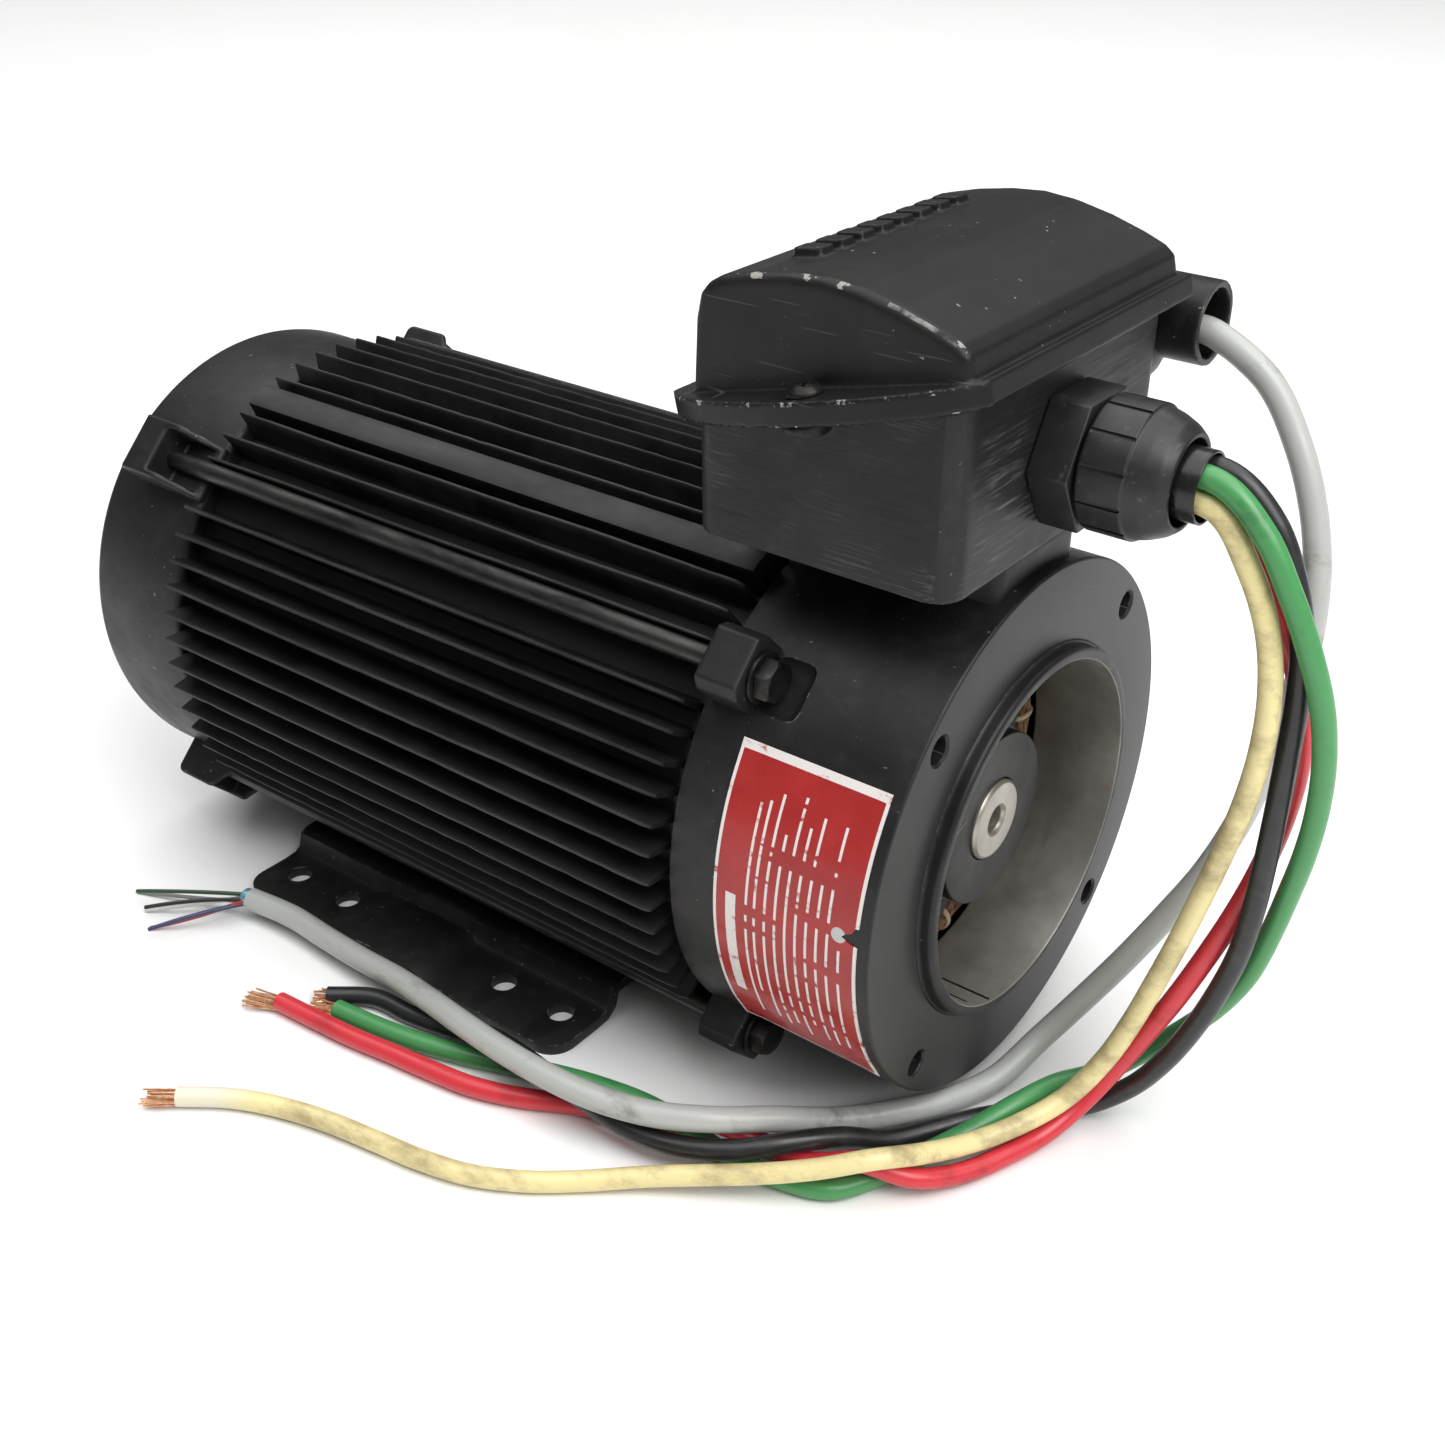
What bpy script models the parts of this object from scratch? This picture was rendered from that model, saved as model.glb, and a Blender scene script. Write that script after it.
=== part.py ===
"""Brushless servo motor on a foot base: finned frame, two end bells on four tie bolts, a C-face with
a raised pilot, and a terminal box with a sloping joint, a barrel lid, a gland and an elbow.

Units are metres, +Z is up and +X is the motor axis towards the drive end. The origin is the middle
of the footprint. Most sizes are given in millimetres from the C-face, on the motor axis:
x runs forward from the face, y across and z up, and place() turns them into world metres.
"""
import math

import bmesh
import bpy
from mathutils import Euler, Matrix, Vector

MM = 0.001

# Driving sizes, in millimetres
SHAFT_HEIGHT = 88.9
FACE_X = 144.0
FLANGE_RADIUS = 82.55
BOLT_CIRCLE = 149.225
PILOT_RADIUS = 57.15
PILOT_HEIGHT = 4.06
BORE_RADIUS = 53.6
BELL_END = -66.3
FRAME_FRONT = -66.6
FRAME_REAR = -279.7
FIN_FRONT = -69.6
REAR_BELL_FRONT = -280.0
REAR_END = -325.0
CORE_RADIUS = 76.5
FRAME_BORE = 71.5
FIN_RADIUS = 88.3
FIN_STEP = 6
LUG_ANGLES = (45, 135, 225, 315)
TIE_GAPS = (42, 138, 222, 318)
LANDS = (66, 114, 246, 294)
TIE_RADIUS = 86.0
TIE_DIAMETER = 6.35
LUG_FLAT = 95.0
FOOT_THICKNESS = 3.8
FOOT_CENTRE_X = -187.5
FOOT_HALF_Y = 86.0
FOOT_HOLE_Y = 69.85
FOOT_HOLE_X = (-63.5, -38.1, 38.1, 63.5)
BASE_SCREWS = [(x, y) for x in (-235.0, -140.0) for y in (-35.8, 35.8)]
BOX_REAR = -81.0
BOX_FRONT = -1.0
BOX_NEAR_Y = -53.0
BOX_FAR_Y = 57.0
BOX_BOTTOM = 92.5
BOX_SCREW_X = (-18.0, -54.0)
JOINT_SLOPE = 0.25
JOINT_HEIGHT = 142.2
LID_SCREW_Y = (-58.4, 62.4)
GLAND_Z = 118.0
ELBOW_Y = 74.0
ELBOW_Z = 134.0
ELBOW_ENTRY_X = -18.0
ELBOW_ENTRY_Z = 124.0
WIRE_RADIUS = 3.2
CABLE_RADIUS = 4.0
BALLS = 7
CAP_RIBS = 12
SLOTS = 18
GAP = 0.3

JOINT_TILT = math.atan(JOINT_SLOPE)
ALONG_X = Euler((0, math.radians(90), 0)).to_matrix().to_4x4()
ALONG_Y = Euler((math.radians(90), 0, 0)).to_matrix().to_4x4()
# Stands an outline drawn in (y, z) square to the motor axis, extruded forwards.
END_ON = Matrix(((0, 0, 1), (1, 0, 0), (0, 1, 0))).to_4x4()

PAINTS = {}


def paint(name, colour, metallic, roughness):
    """A plain Principled material, one for each finish."""
    if name in PAINTS:
        return PAINTS[name]
    made = bpy.data.materials.new(name)
    made.use_nodes = True
    shader = made.node_tree.nodes["Principled BSDF"]
    shader.inputs["Base Color"].default_value = (*colour, 1.0)
    shader.inputs["Metallic"].default_value = metallic
    shader.inputs["Roughness"].default_value = roughness
    PAINTS[name] = made
    return made


def black_paint():
    return paint("black_paint", (0.022, 0.022, 0.024), 0.0, 0.42)


def face_paint():
    return paint("grey_face", (0.16, 0.16, 0.165), 0.3, 0.45)


def bright_steel():
    return paint("bright_steel", (0.55, 0.54, 0.52), 1.0, 0.32)


def dark_steel():
    return paint("dark_steel", (0.12, 0.12, 0.12), 1.0, 0.45)


def lamination():
    return paint("lamination", (0.25, 0.25, 0.26), 0.9, 0.5)


def enamel():
    return paint("winding_enamel", (0.32, 0.17, 0.07), 0.2, 0.4)


def magnet():
    return paint("magnet", (0.28, 0.28, 0.3), 0.9, 0.35)


def brass():
    return paint("brass", (0.72, 0.52, 0.22), 1.0, 0.3)


def nylon():
    return paint("black_nylon", (0.018, 0.018, 0.019), 0.0, 0.5)


def rubber():
    return paint("black_rubber", (0.015, 0.015, 0.015), 0.0, 0.7)


def phenolic():
    return paint("phenolic", (0.3, 0.12, 0.06), 0.0, 0.45)


def label_vinyl():
    return paint("label_vinyl", (0.5, 0.03, 0.03), 0.0, 0.4)


def jacket(name, colour):
    return paint(name, colour, 0.0, 0.45)


# Scene and placing


def clear_scene():
    for obj in list(bpy.data.objects):
        bpy.data.objects.remove(obj, do_unlink=True)


def new_collection(name):
    made = bpy.data.collections.new(name)
    bpy.context.scene.collection.children.link(made)
    return made


def place(x, y, z):
    """World metres of a point given in millimetres from the C-face on the motor axis."""
    return Vector(((x + FACE_X) * MM, y * MM, (z + SHAFT_HEIGHT) * MM))


def add(name, mesh, material, collection=None):
    obj = bpy.data.objects.new(name, mesh)
    (collection or PARTS).objects.link(obj)
    if material:
        mesh.materials.append(material)
    return obj


def as_cutter(obj):
    obj.hide_render = True
    obj.display_type = "WIRE"
    return obj


def boolean(obj, other, operation="DIFFERENCE"):
    cut = obj.modifiers.new(f"{operation.lower()}_{other.name}"[:60], "BOOLEAN")
    cut.operation = operation
    cut.solver = "EXACT"
    cut.object = other
    return cut


# Shape makers. Sizes are in millimetres; meshes are in metres.


def finish_mesh(name, bm):
    """The finished mesh, shaded smooth, with its edges over 35 degrees left sharp."""
    bmesh.ops.recalc_face_normals(bm, faces=bm.faces)
    mesh = bpy.data.meshes.new(name)
    bm.to_mesh(mesh)
    bm.free()
    mesh.shade_smooth()
    mesh.set_sharp_from_angle(angle=math.radians(35))
    return mesh


def box_mesh(name, size, corner=0.0, segments=3):
    """A block about its middle, with all edges rounded by corner."""
    bm = bmesh.new()
    bmesh.ops.create_cube(bm, size=1.0)
    bmesh.ops.scale(bm, vec=Vector(size) * MM, verts=bm.verts)
    if corner:
        bmesh.ops.bevel(bm, geom=bm.edges[:], offset=corner * MM, segments=segments, profile=0.5,
                        affect="EDGES")
    return finish_mesh(name, bm)


def rod_mesh(name, radius, length, sides=32, top=None):
    """A round bar about its middle, along local Z."""
    bm = bmesh.new()
    bmesh.ops.create_cone(bm, cap_ends=True, segments=sides, radius1=radius * MM,
                          radius2=(radius if top is None else top) * MM, depth=length * MM)
    return finish_mesh(name, bm)


def prism_mesh(name, outline, depth):
    """An outline in local XY, extruded from z = 0 to depth."""
    bm = bmesh.new()
    base = [bm.verts.new((x * MM, y * MM, 0.0)) for x, y in outline]
    face = bm.faces.new(base)
    moved = bmesh.ops.extrude_face_region(bm, geom=[face])["geom"]
    bmesh.ops.translate(bm, vec=(0, 0, depth * MM),
                        verts=[v for v in moved if isinstance(v, bmesh.types.BMVert)])
    return finish_mesh(name, bm)


def turned(name, profile, material, steps=64, closed=True, collection=None):
    """A shape turned about the motor axis from (x, radius) points; the outer side runs front to rear."""
    mesh = bpy.data.meshes.new(name)
    points = [(radius * MM, 0.0, x * MM) for x, radius in profile]
    edges = [(i, i + 1) for i in range(len(points) - 1)]
    if closed:
        edges.append((len(points) - 1, 0))
    mesh.from_pydata(points, edges, [])
    obj = add(name, mesh, material, collection)
    screw = obj.modifiers.new("turn", "SCREW")
    screw.axis = "Z"
    screw.angle = math.tau
    screw.steps = screw.render_steps = steps
    screw.use_merge_vertices = True
    screw.merge_threshold = 0.00001
    screw.use_smooth_shade = True
    obj.matrix_world = Matrix.Translation(place(0, 0, 0)) @ ALONG_X
    return obj


def arc(cx, cy, radius, start, end, steps):
    """Points of an arc, in degrees, both ends included."""
    return [(cx + radius * math.cos(math.radians(start + (end - start) * i / steps)),
             cy + radius * math.sin(math.radians(start + (end - start) * i / steps)))
            for i in range(steps + 1)]


def rounded_outline(x0, x1, y0, y1, radius, steps=5):
    return (arc(x1 - radius, y1 - radius, radius, 0, 90, steps)
            + arc(x0 + radius, y1 - radius, radius, 90, 180, steps)
            + arc(x0 + radius, y0 + radius, radius, 180, 270, steps)
            + arc(x1 - radius, y0 + radius, radius, 270, 360, steps))


def at(obj, x, y, z, rotation=None):
    """Puts an object at a point of the motor, turned by a matrix if one is given."""
    obj.matrix_world = Matrix.Translation(place(x, y, z)) @ (rotation or Matrix.Identity(4))
    return obj


def about_axis(degrees):
    """A frame whose local Z points out from the motor axis at this angle up from +Y, local X forward."""
    turn = math.radians(degrees)
    out = Vector((0, math.cos(turn), math.sin(turn)))
    forward = Vector((1, 0, 0))
    side = out.cross(forward)
    return Matrix((forward, side, out)).transposed().to_4x4()


def around(radius, degrees):
    """The (y, z) of a point at a radius from the motor axis, at this angle up from +Y."""
    turn = math.radians(degrees)
    return radius * math.cos(turn), radius * math.sin(turn)


def radial_cut(name, degrees, x, radius, size):
    """A block cutter at a radius and an angle, its size along x, around and outwards."""
    obj = add(name, box_mesh(name, size), None, CUTTERS)
    at(obj, x, *around(radius, degrees), about_axis(degrees))
    return as_cutter(obj)


def axial_cut(name, radius, x0, x1, y, z, sides=24):
    """A round cutter along the motor axis."""
    obj = add(name, rod_mesh(name, radius, x1 - x0, sides), None, CUTTERS)
    at(obj, (x0 + x1) / 2, y, z, ALONG_X)
    return as_cutter(obj)


# Housing


def fin_angles():
    """Fins every six degrees, left out at the tie bolts and where a flat land replaces them."""
    return [angle for angle in range(0, 360, FIN_STEP) if angle not in TIE_GAPS + LANDS]


def frame_outline():
    """The extruded frame's outline: a round core with thin radial fins and four wide lands."""
    points = []
    for angle in range(0, 360, FIN_STEP):
        turn = math.radians(angle)
        if angle in LANDS:
            half_root, half_tip, tip = 4.9, 4.7, FIN_RADIUS
        elif angle in fin_angles():
            half_root, half_tip, tip = 1.1, 0.55, FIN_RADIUS
        else:
            points.append((CORE_RADIUS * math.cos(turn), CORE_RADIUS * math.sin(turn)))
            continue
        out = Vector((math.cos(turn), math.sin(turn)))
        side = Vector((-out.y, out.x))
        for along, across in ((CORE_RADIUS, -half_root), (tip, -half_tip), (tip, half_tip),
                              (CORE_RADIUS, half_root)):
            points.append(tuple(out * along + side * across))
    return points


def make_frame():
    """Aluminium frame, flat underneath where it sits on the base, with four tapped holes."""
    mesh = prism_mesh("frame_housing", frame_outline(), FRAME_FRONT - FRAME_REAR)
    obj = add("frame_housing", mesh, black_paint())
    at(obj, FRAME_REAR, 0, 0, END_ON)
    boolean(obj, axial_cut("frame_bore", FRAME_BORE, FRAME_REAR - 5, FRAME_FRONT + 5, 0, 0, 44))
    trim = turned("fin_trim", [(FRAME_FRONT + 3, 100), (FIN_FRONT, 100), (FIN_FRONT, CORE_RADIUS + 1.2),
                               (FRAME_FRONT + 3, CORE_RADIUS + 1.2)], None, 44, True, CUTTERS)
    boolean(obj, as_cutter(trim))
    flat = add("frame_flat", box_mesh("frame_flat", (230, 124, 30)), None, CUTTERS)
    at(flat, (FRAME_FRONT + FRAME_REAR) / 2, 0, -CORE_RADIUS - 15)
    boolean(obj, as_cutter(flat))
    for index, (x, y) in enumerate(BASE_SCREWS, 1):
        hole = add(f"base_screw_hole_{index}", rod_mesh("base_screw_hole", 3.2, 20, 12), None, CUTTERS)
        boolean(obj, as_cutter(at(hole, x, y, -76)))
    return obj


def front_lug(degrees):
    """A block on the front bell that takes one tie bolt's head."""
    name = f"front_lug_{degrees}"
    outline = [(-10, 66), (10, 66), (10, LUG_FLAT - 3.5), (7.6, LUG_FLAT), (-7.6, LUG_FLAT),
               (-10, LUG_FLAT - 3.5)]
    obj = add(name, prism_mesh(name, outline, 14.0), None, CUTTERS)
    out = Vector((0, *around(1, degrees)))
    forward = Vector((1, 0, 0))
    turned_frame = Matrix((out.cross(forward), out, forward)).transposed().to_4x4()
    return as_cutter(at(obj, -65.2, 0, 0, turned_frame))


def make_front_bell():
    """Cast drive-end bell: C-face, raised pilot, open mouth, bearing bridge, lugs and box pedestal."""
    profile = [
        (PILOT_HEIGHT, PILOT_RADIUS - 0.9), (PILOT_HEIGHT - 0.9, PILOT_RADIUS), (0.0, PILOT_RADIUS),
        (0.0, FLANGE_RADIUS - 0.6), (-0.6, FLANGE_RADIUS), (BELL_END, FLANGE_RADIUS),
        (BELL_END, FRAME_BORE - GAP), (BELL_END - 5, FRAME_BORE - GAP), (BELL_END - 5, 67.5),
        (-58, 64.5), (-31, 64.5), (-26, BORE_RADIUS), (PILOT_HEIGHT, BORE_RADIUS)]
    obj = turned("front_end_bell", profile, face_paint(), 44)
    for degrees in LUG_ANGLES:
        boolean(obj, front_lug(degrees), "UNION")
    pedestal = add("pedestal", box_mesh("pedestal", (56, 42, 20), 3), None, CUTTERS)
    boolean(obj, as_cutter(at(pedestal, -32, 0, 82.2)), "UNION")
    hub = turned("bearing_hub", [(-15.5, 28.5), (-37, 28.5), (-37, 24.5), (-15.5, 24.5)], None, 32,
                 True, CUTTERS)
    bridge = []
    for degrees in (55, 235):
        spoke = add(f"spoke_{degrees}", box_mesh("spoke", (9, 15, 30)), None, CUTTERS)
        at(spoke, -21.5, *around(41, degrees), about_axis(degrees))
        bridge.append(as_cutter(spoke))
    boolean(obj, as_cutter(hub), "UNION")
    for spoke in bridge:
        boolean(obj, spoke, "UNION")
    for index, degrees in enumerate(LUG_ANGLES, 1):
        boolean(obj, radial_cut(f"head_pocket_{index}", degrees, -43.5, 92, (16, 21, 28)))
        boolean(obj, axial_cut(f"tie_hole_{index}", 3.6, -70, -45, *around(TIE_RADIUS, degrees), 12))
        boolean(obj, axial_cut(f"face_hole_{index}", 4.0, -17, 2, *around(BOLT_CIRCLE / 2, degrees), 16))
    wire_way = add("wire_way", rod_mesh("wire_way", 8.0, 40, 20), None, CUTTERS)
    boolean(obj, as_cutter(at(wire_way, -44, 0, 80)))
    for index, x in enumerate(BOX_SCREW_X, 1):
        hole = add(f"box_screw_hole_{index}", rod_mesh("box_screw_hole", 2.3, 16, 10), None, CUTTERS)
        boolean(obj, as_cutter(at(hole, x, 0, 86)))
    drain = add("drain_slot", box_mesh("drain_slot", (22, 1.6, 3.0)), None, CUTTERS)
    boolean(obj, as_cutter(at(drain, -8, -17, -51.5)))
    return obj


def make_rear_bell():
    """Cast rear bell: a plain drum with a closed back, a bearing boss and four pocketed lugs."""
    back = REAR_END + 5
    profile = [
        (back, 0.0), (back, 20.6), (back + 13, 20.6), (back + 13, 25.0), (back, 27.0), (back, 71.0),
        (back + 7, 75.0), (REAR_BELL_FRONT - 4, 75.0), (REAR_BELL_FRONT - 1, 67.5),
        (REAR_BELL_FRONT + 5, 67.5), (REAR_BELL_FRONT + 5, FRAME_BORE - GAP),
        (REAR_BELL_FRONT, FRAME_BORE - GAP), (REAR_BELL_FRONT, FLANGE_RADIUS - 0.4)]
    profile += [(REAR_END + 2.5 - 2.5 * math.sin(math.radians(a)),
                 FLANGE_RADIUS - 2.9 + 2.5 * math.cos(math.radians(a))) for a in (0, 30, 60, 90)]
    profile.append((REAR_END, 0.0))
    obj = turned("rear_end_bell", profile, black_paint(), 44, False)
    for degrees in LUG_ANGLES:
        out = Vector((0, *around(1, degrees)))
        name = f"rear_lug_{degrees}"
        side_view = [(-309, 76), (-280.2, 76), (-280.2, 82), (-291, LUG_FLAT), (-307, LUG_FLAT),
                     (-309, LUG_FLAT - 2)]
        lug = add(name, prism_mesh(name, side_view, 20.0), None, CUTTERS)
        side = Vector((1, 0, 0)).cross(out)
        turned_frame = Matrix((Vector((1, 0, 0)), out, side)).transposed().to_4x4()
        at(lug, 0, -10 * side.y, -10 * side.z, turned_frame)
        boolean(obj, as_cutter(lug), "UNION")
    for index, degrees in enumerate(LUG_ANGLES, 1):
        y, z = around(TIE_RADIUS, degrees)
        boolean(obj, radial_cut(f"nut_pocket_{index}", degrees, -286, 92.5, (20, 15.5, 18)))
        boolean(obj, axial_cut(f"tie_tap_{index}", TIE_DIAMETER / 2 + 0.35, -306, -276, y, z, 12))
    return obj


def make_tie_bolts():
    """Four hexagon-headed tie bolts with a washer each, from the front lugs into the rear ones."""
    for index, degrees in enumerate(LUG_ANGLES, 1):
        y, z = around(TIE_RADIUS, degrees)
        bolt = add(f"tie_bolt_{index}", rod_mesh("tie_bolt", 6.4, 4.6, 6), dark_steel())
        at(bolt, -47.2, y, z, ALONG_X)
        shank = add(f"tie_shank_{index}", rod_mesh("tie_shank", TIE_DIAMETER / 2, 256, 12), None, CUTTERS)
        at(shank, -176.5, y, z, ALONG_X)
        boolean(bolt, as_cutter(shank), "UNION")
        washer = turned(f"tie_washer_{index}", [(0.55, 7.4), (-0.55, 7.4), (-0.55, 3.6), (0.55, 3.6)],
                        bright_steel(), 16)
        washer.matrix_world = Matrix.Translation(place(-50.35, y, z)) @ ALONG_X


# Base


def smoothstep(value):
    value = min(1.0, max(0.0, value))
    return value * value * (3 - 2 * value)


def foot_rise(x):
    """How far the foot is raised between its two pads."""
    return 3.0 * smoothstep((x + 226) / 34) * smoothstep((-170 - x) / 8)


def make_base():
    """Pressed steel base: a raised bed under the frame and a foot on each side, from one sheet."""
    bed = -CORE_RADIUS - GAP
    foot = -SHAFT_HEIGHT + FOOT_THICKNESS
    across = [(-FOOT_HALF_Y - 4, foot, 1), (-66, foot, 1), (-61.5, foot + 0.4, 0.8), (-59.5, foot + 1.8, 0.3),
              (-57.8, bed - 1.6, 0), (-55.5, bed - 0.3, 0), (-52.5, bed, 0)]
    across += [(-y, z, rise) for y, z, rise in reversed(across)]
    lengths = [-264, -227, -218, -209, -200, -191, -182, -178, -174, -170, -109]
    bm = bmesh.new()
    rows = [[bm.verts.new(place(x, y, z + rise * foot_rise(x))) for y, z, rise in across]
            for x in lengths]
    for near, far in zip(rows, rows[1:]):
        for i in range(len(across) - 1):
            bm.faces.new((near[i], far[i], far[i + 1], near[i + 1]))
    bmesh.ops.recalc_face_normals(bm, faces=bm.faces)
    if sum(face.normal.z for face in bm.faces) < 0:
        bmesh.ops.reverse_faces(bm, faces=bm.faces)
    mesh = bpy.data.meshes.new("mounting_base")
    bm.to_mesh(mesh)
    bm.free()
    obj = add("mounting_base", mesh, black_paint())
    sheet = obj.modifiers.new("sheet", "SOLIDIFY")
    sheet.thickness = FOOT_THICKNESS * MM
    sheet.offset = -1.0
    sheet.use_even_offset = True
    plan = rounded_outline(FOOT_CENTRE_X - 75.5, FOOT_CENTRE_X + 75.5, -FOOT_HALF_Y, FOOT_HALF_Y, 9.0, 4)
    cut = add("base_plan", prism_mesh("base_plan", plan, 40), None, CUTTERS)
    boolean(obj, as_cutter(at(cut, 0, 0, -100)), "INTERSECT")
    holes = [(FOOT_CENTRE_X + dx, y, 4.4) for dx in FOOT_HOLE_X for y in (-FOOT_HOLE_Y, FOOT_HOLE_Y)]
    holes += [(x, y, 3.4) for x, y in BASE_SCREWS]
    for index, (x, y, radius) in enumerate(holes, 1):
        hole = add(f"base_hole_{index}", rod_mesh("base_hole", radius, 30, 14), None, CUTTERS)
        boolean(obj, as_cutter(at(hole, x, y, -85)))
    for index, (x, y) in enumerate(BASE_SCREWS, 1):
        head = add(f"base_screw_{index}", rod_mesh("base_screw", 5.6, 3.4, 6), dark_steel())
        at(head, x, y, bed - FOOT_THICKNESS - GAP - 1.7)
        shank = add(f"base_shank_{index}", rod_mesh("base_shank", 2.9, 13, 12), None, CUTTERS)
        boolean(head, as_cutter(at(shank, x, y, -75)), "UNION")


# Rotor, bearings and stator


def make_shaft():
    """One turned shaft: front boss with a tapped hole, bearing seats and the core's seat."""
    outline = [(-26.0, 0.0), (-26.0, 4.2), (-8.8, 4.2), (-8.8, 12.1), (-9.3, 12.6), (-37.5, 12.6),
               (-37.5, 16.0), (-250, 16.0), (-250, 11.0), (-300.5, 11.0), (-300.5, 8.4), (-318, 8.4),
               (-318, 0.0)]
    return turned("shaft", outline, bright_steel(), 28, False)


def ring(name, x0, x1, inner, outer, material, steps=32):
    """A plain turned ring from x0 back to x1."""
    return turned(name, [(x0, outer), (x1, outer), (x1, inner), (x0, inner)], material, steps)


def make_bearing(name, x, inner, outer, width):
    """Inner race, outer race, and a cage joined to its balls."""
    third = (outer - inner) / 3
    half = width / 2
    ring(f"{name}_inner_race", x + half, x - half, inner, inner + third - 0.4, bright_steel(), 24)
    ring(f"{name}_outer_race", x + half, x - half, outer - third + 0.4, outer, bright_steel(), 24)
    middle = (inner + outer) / 2
    cage = ring(f"{name}_ball_cage", x + 1.2, x - 1.2, middle - 0.7, middle + 0.7, brass(), 20)
    for index in range(BALLS):
        bm = bmesh.new()
        bmesh.ops.create_uvsphere(bm, u_segments=6, v_segments=4, radius=(third * 0.5 + 0.1) * MM)
        ball = add(f"{name}_ball_{index}", finish_mesh("ball", bm), None, CUTTERS)
        at(ball, x, *around(middle, 360 * index / BALLS))
        boolean(cage, as_cutter(ball), "UNION")


def make_rotor():
    """Shaft, core with six magnets in a band, both bearings, and the feedback ring at the rear."""
    make_shaft()
    ring("shaft_hub_disc", -10.2, -14.6, 12.9, 27.05, face_paint(), 40)
    ring("rotor_core", -84, -232, 16.3, 33.0, lamination(), 36)
    for index in range(6):
        start = 60 * index + 3
        outline = arc(0, 0, 39.6, start, start + 54, 6) + arc(0, 0, 33.3, start + 54, start, 6)
        name = f"rotor_magnet_{index + 1}"
        obj = add(name, prism_mesh(name, outline, 144), magnet())
        at(obj, -230, 0, 0, END_ON)
    ring("rotor_band", -84, -232, 39.9, 40.7, dark_steel(), 36)
    make_bearing("front_bearing", -25.5, 12.9, 24.2, 12)
    make_bearing("rear_bearing", -311.2, 8.7, 20.3, 10)
    ring("wave_spring", -316.6, -317.6, 14.5, 19.5, bright_steel(), 24)
    ring("feedback_rotor", -284, -293, 11.3, 18.0, lamination(), 24)
    ring("feedback_stator", -283, -294, 19.2, 40.0, phenolic(), 32)


def slot_outline(inner, outer, half_inner, half_outer, degrees):
    out = Vector(around(1, degrees))
    side = Vector((-out.y, out.x))
    return [tuple(out * inner - side * half_inner), tuple(out * outer - side * half_outer),
            tuple(out * outer + side * half_outer), tuple(out * inner + side * half_inner)]


def make_stator():
    """Slotted core, and one winding whose bars pass through its slots between two end rings."""
    inner = []
    for index in range(SLOTS):
        inner += [around(radius, 360 * index / SLOTS + angle) for radius, angle in
                  ((43.0, -6.2), (43.0, 6.2), (58.5, 7.4), (58.5, 12.6))]
    core = add("stator_core", prism_mesh("stator_core", arc(0, 0, 71.0, 0, 360, 60)[:-1], 155), lamination())
    at(core, -235, 0, 0, END_ON)
    bore = add("stator_bore", prism_mesh("stator_bore", inner, 165), None, CUTTERS)
    boolean(core, as_cutter(at(bore, -240, 0, 0, END_ON)))
    winding = turned("stator_winding", [(-27.8, 46.5), (-27.2, 49.5), (-28.4, 52.6), (-33, 56.5), (-79.4, 57.8),
                                        (-79.4, 44.2), (-36, 44.2)], enamel(), 30)
    rear = turned("rear_turns", [(-235.6, 57.8), (-268, 56.0), (-275, 51.0), (-275, 47.0), (-268, 44.2),
                                 (-235.6, 44.2)], None, 30, True, CUTTERS)
    for index in range(SLOTS):
        bar_outline = slot_outline(46.0, 58.0, 1.7, 2.4, 360 * (index + 0.5) / SLOTS)
        bar = add(f"slot_bar_{index}", prism_mesh("slot_bar", bar_outline, 160), None, CUTTERS)
        boolean(winding, as_cutter(at(bar, -237.5, 0, 0, END_ON)), "UNION")
    boolean(winding, as_cutter(rear), "UNION")


# Terminal box


def joint_frame(height):
    """A frame on the box's sloping joint: local X rises towards the front, Z is square to the joint."""
    return Matrix.Translation(place(BOX_FRONT, 0, height)) @ Euler((0, -JOINT_TILT, 0)).to_matrix().to_4x4()


def joint_x(x):
    """The distance along the sloping joint of a point at x, from the box's front."""
    return (x - BOX_FRONT) / math.cos(JOINT_TILT)


def sloped_block(name, height, above):
    """A big block cutter whose face lies on the joint, above or below it."""
    obj = add(name, box_mesh(name, (260, 240, 120)), None, CUTTERS)
    obj.matrix_world = joint_frame(height) @ Matrix.Translation((0, 0, (60 if above else -60) * MM))
    return as_cutter(obj)


def box_shell_cutter(name, inset, bottom, top, radius):
    """A block inside the box's own plan, as far in as inset."""
    plan = rounded_outline(BOX_REAR + inset, BOX_FRONT - inset, BOX_NEAR_Y + inset, BOX_FAR_Y - inset,
                           radius, 5)
    obj = add(name, prism_mesh(name, plan, top - bottom), None, CUTTERS)
    return as_cutter(at(obj, 0, 0, bottom))


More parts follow.
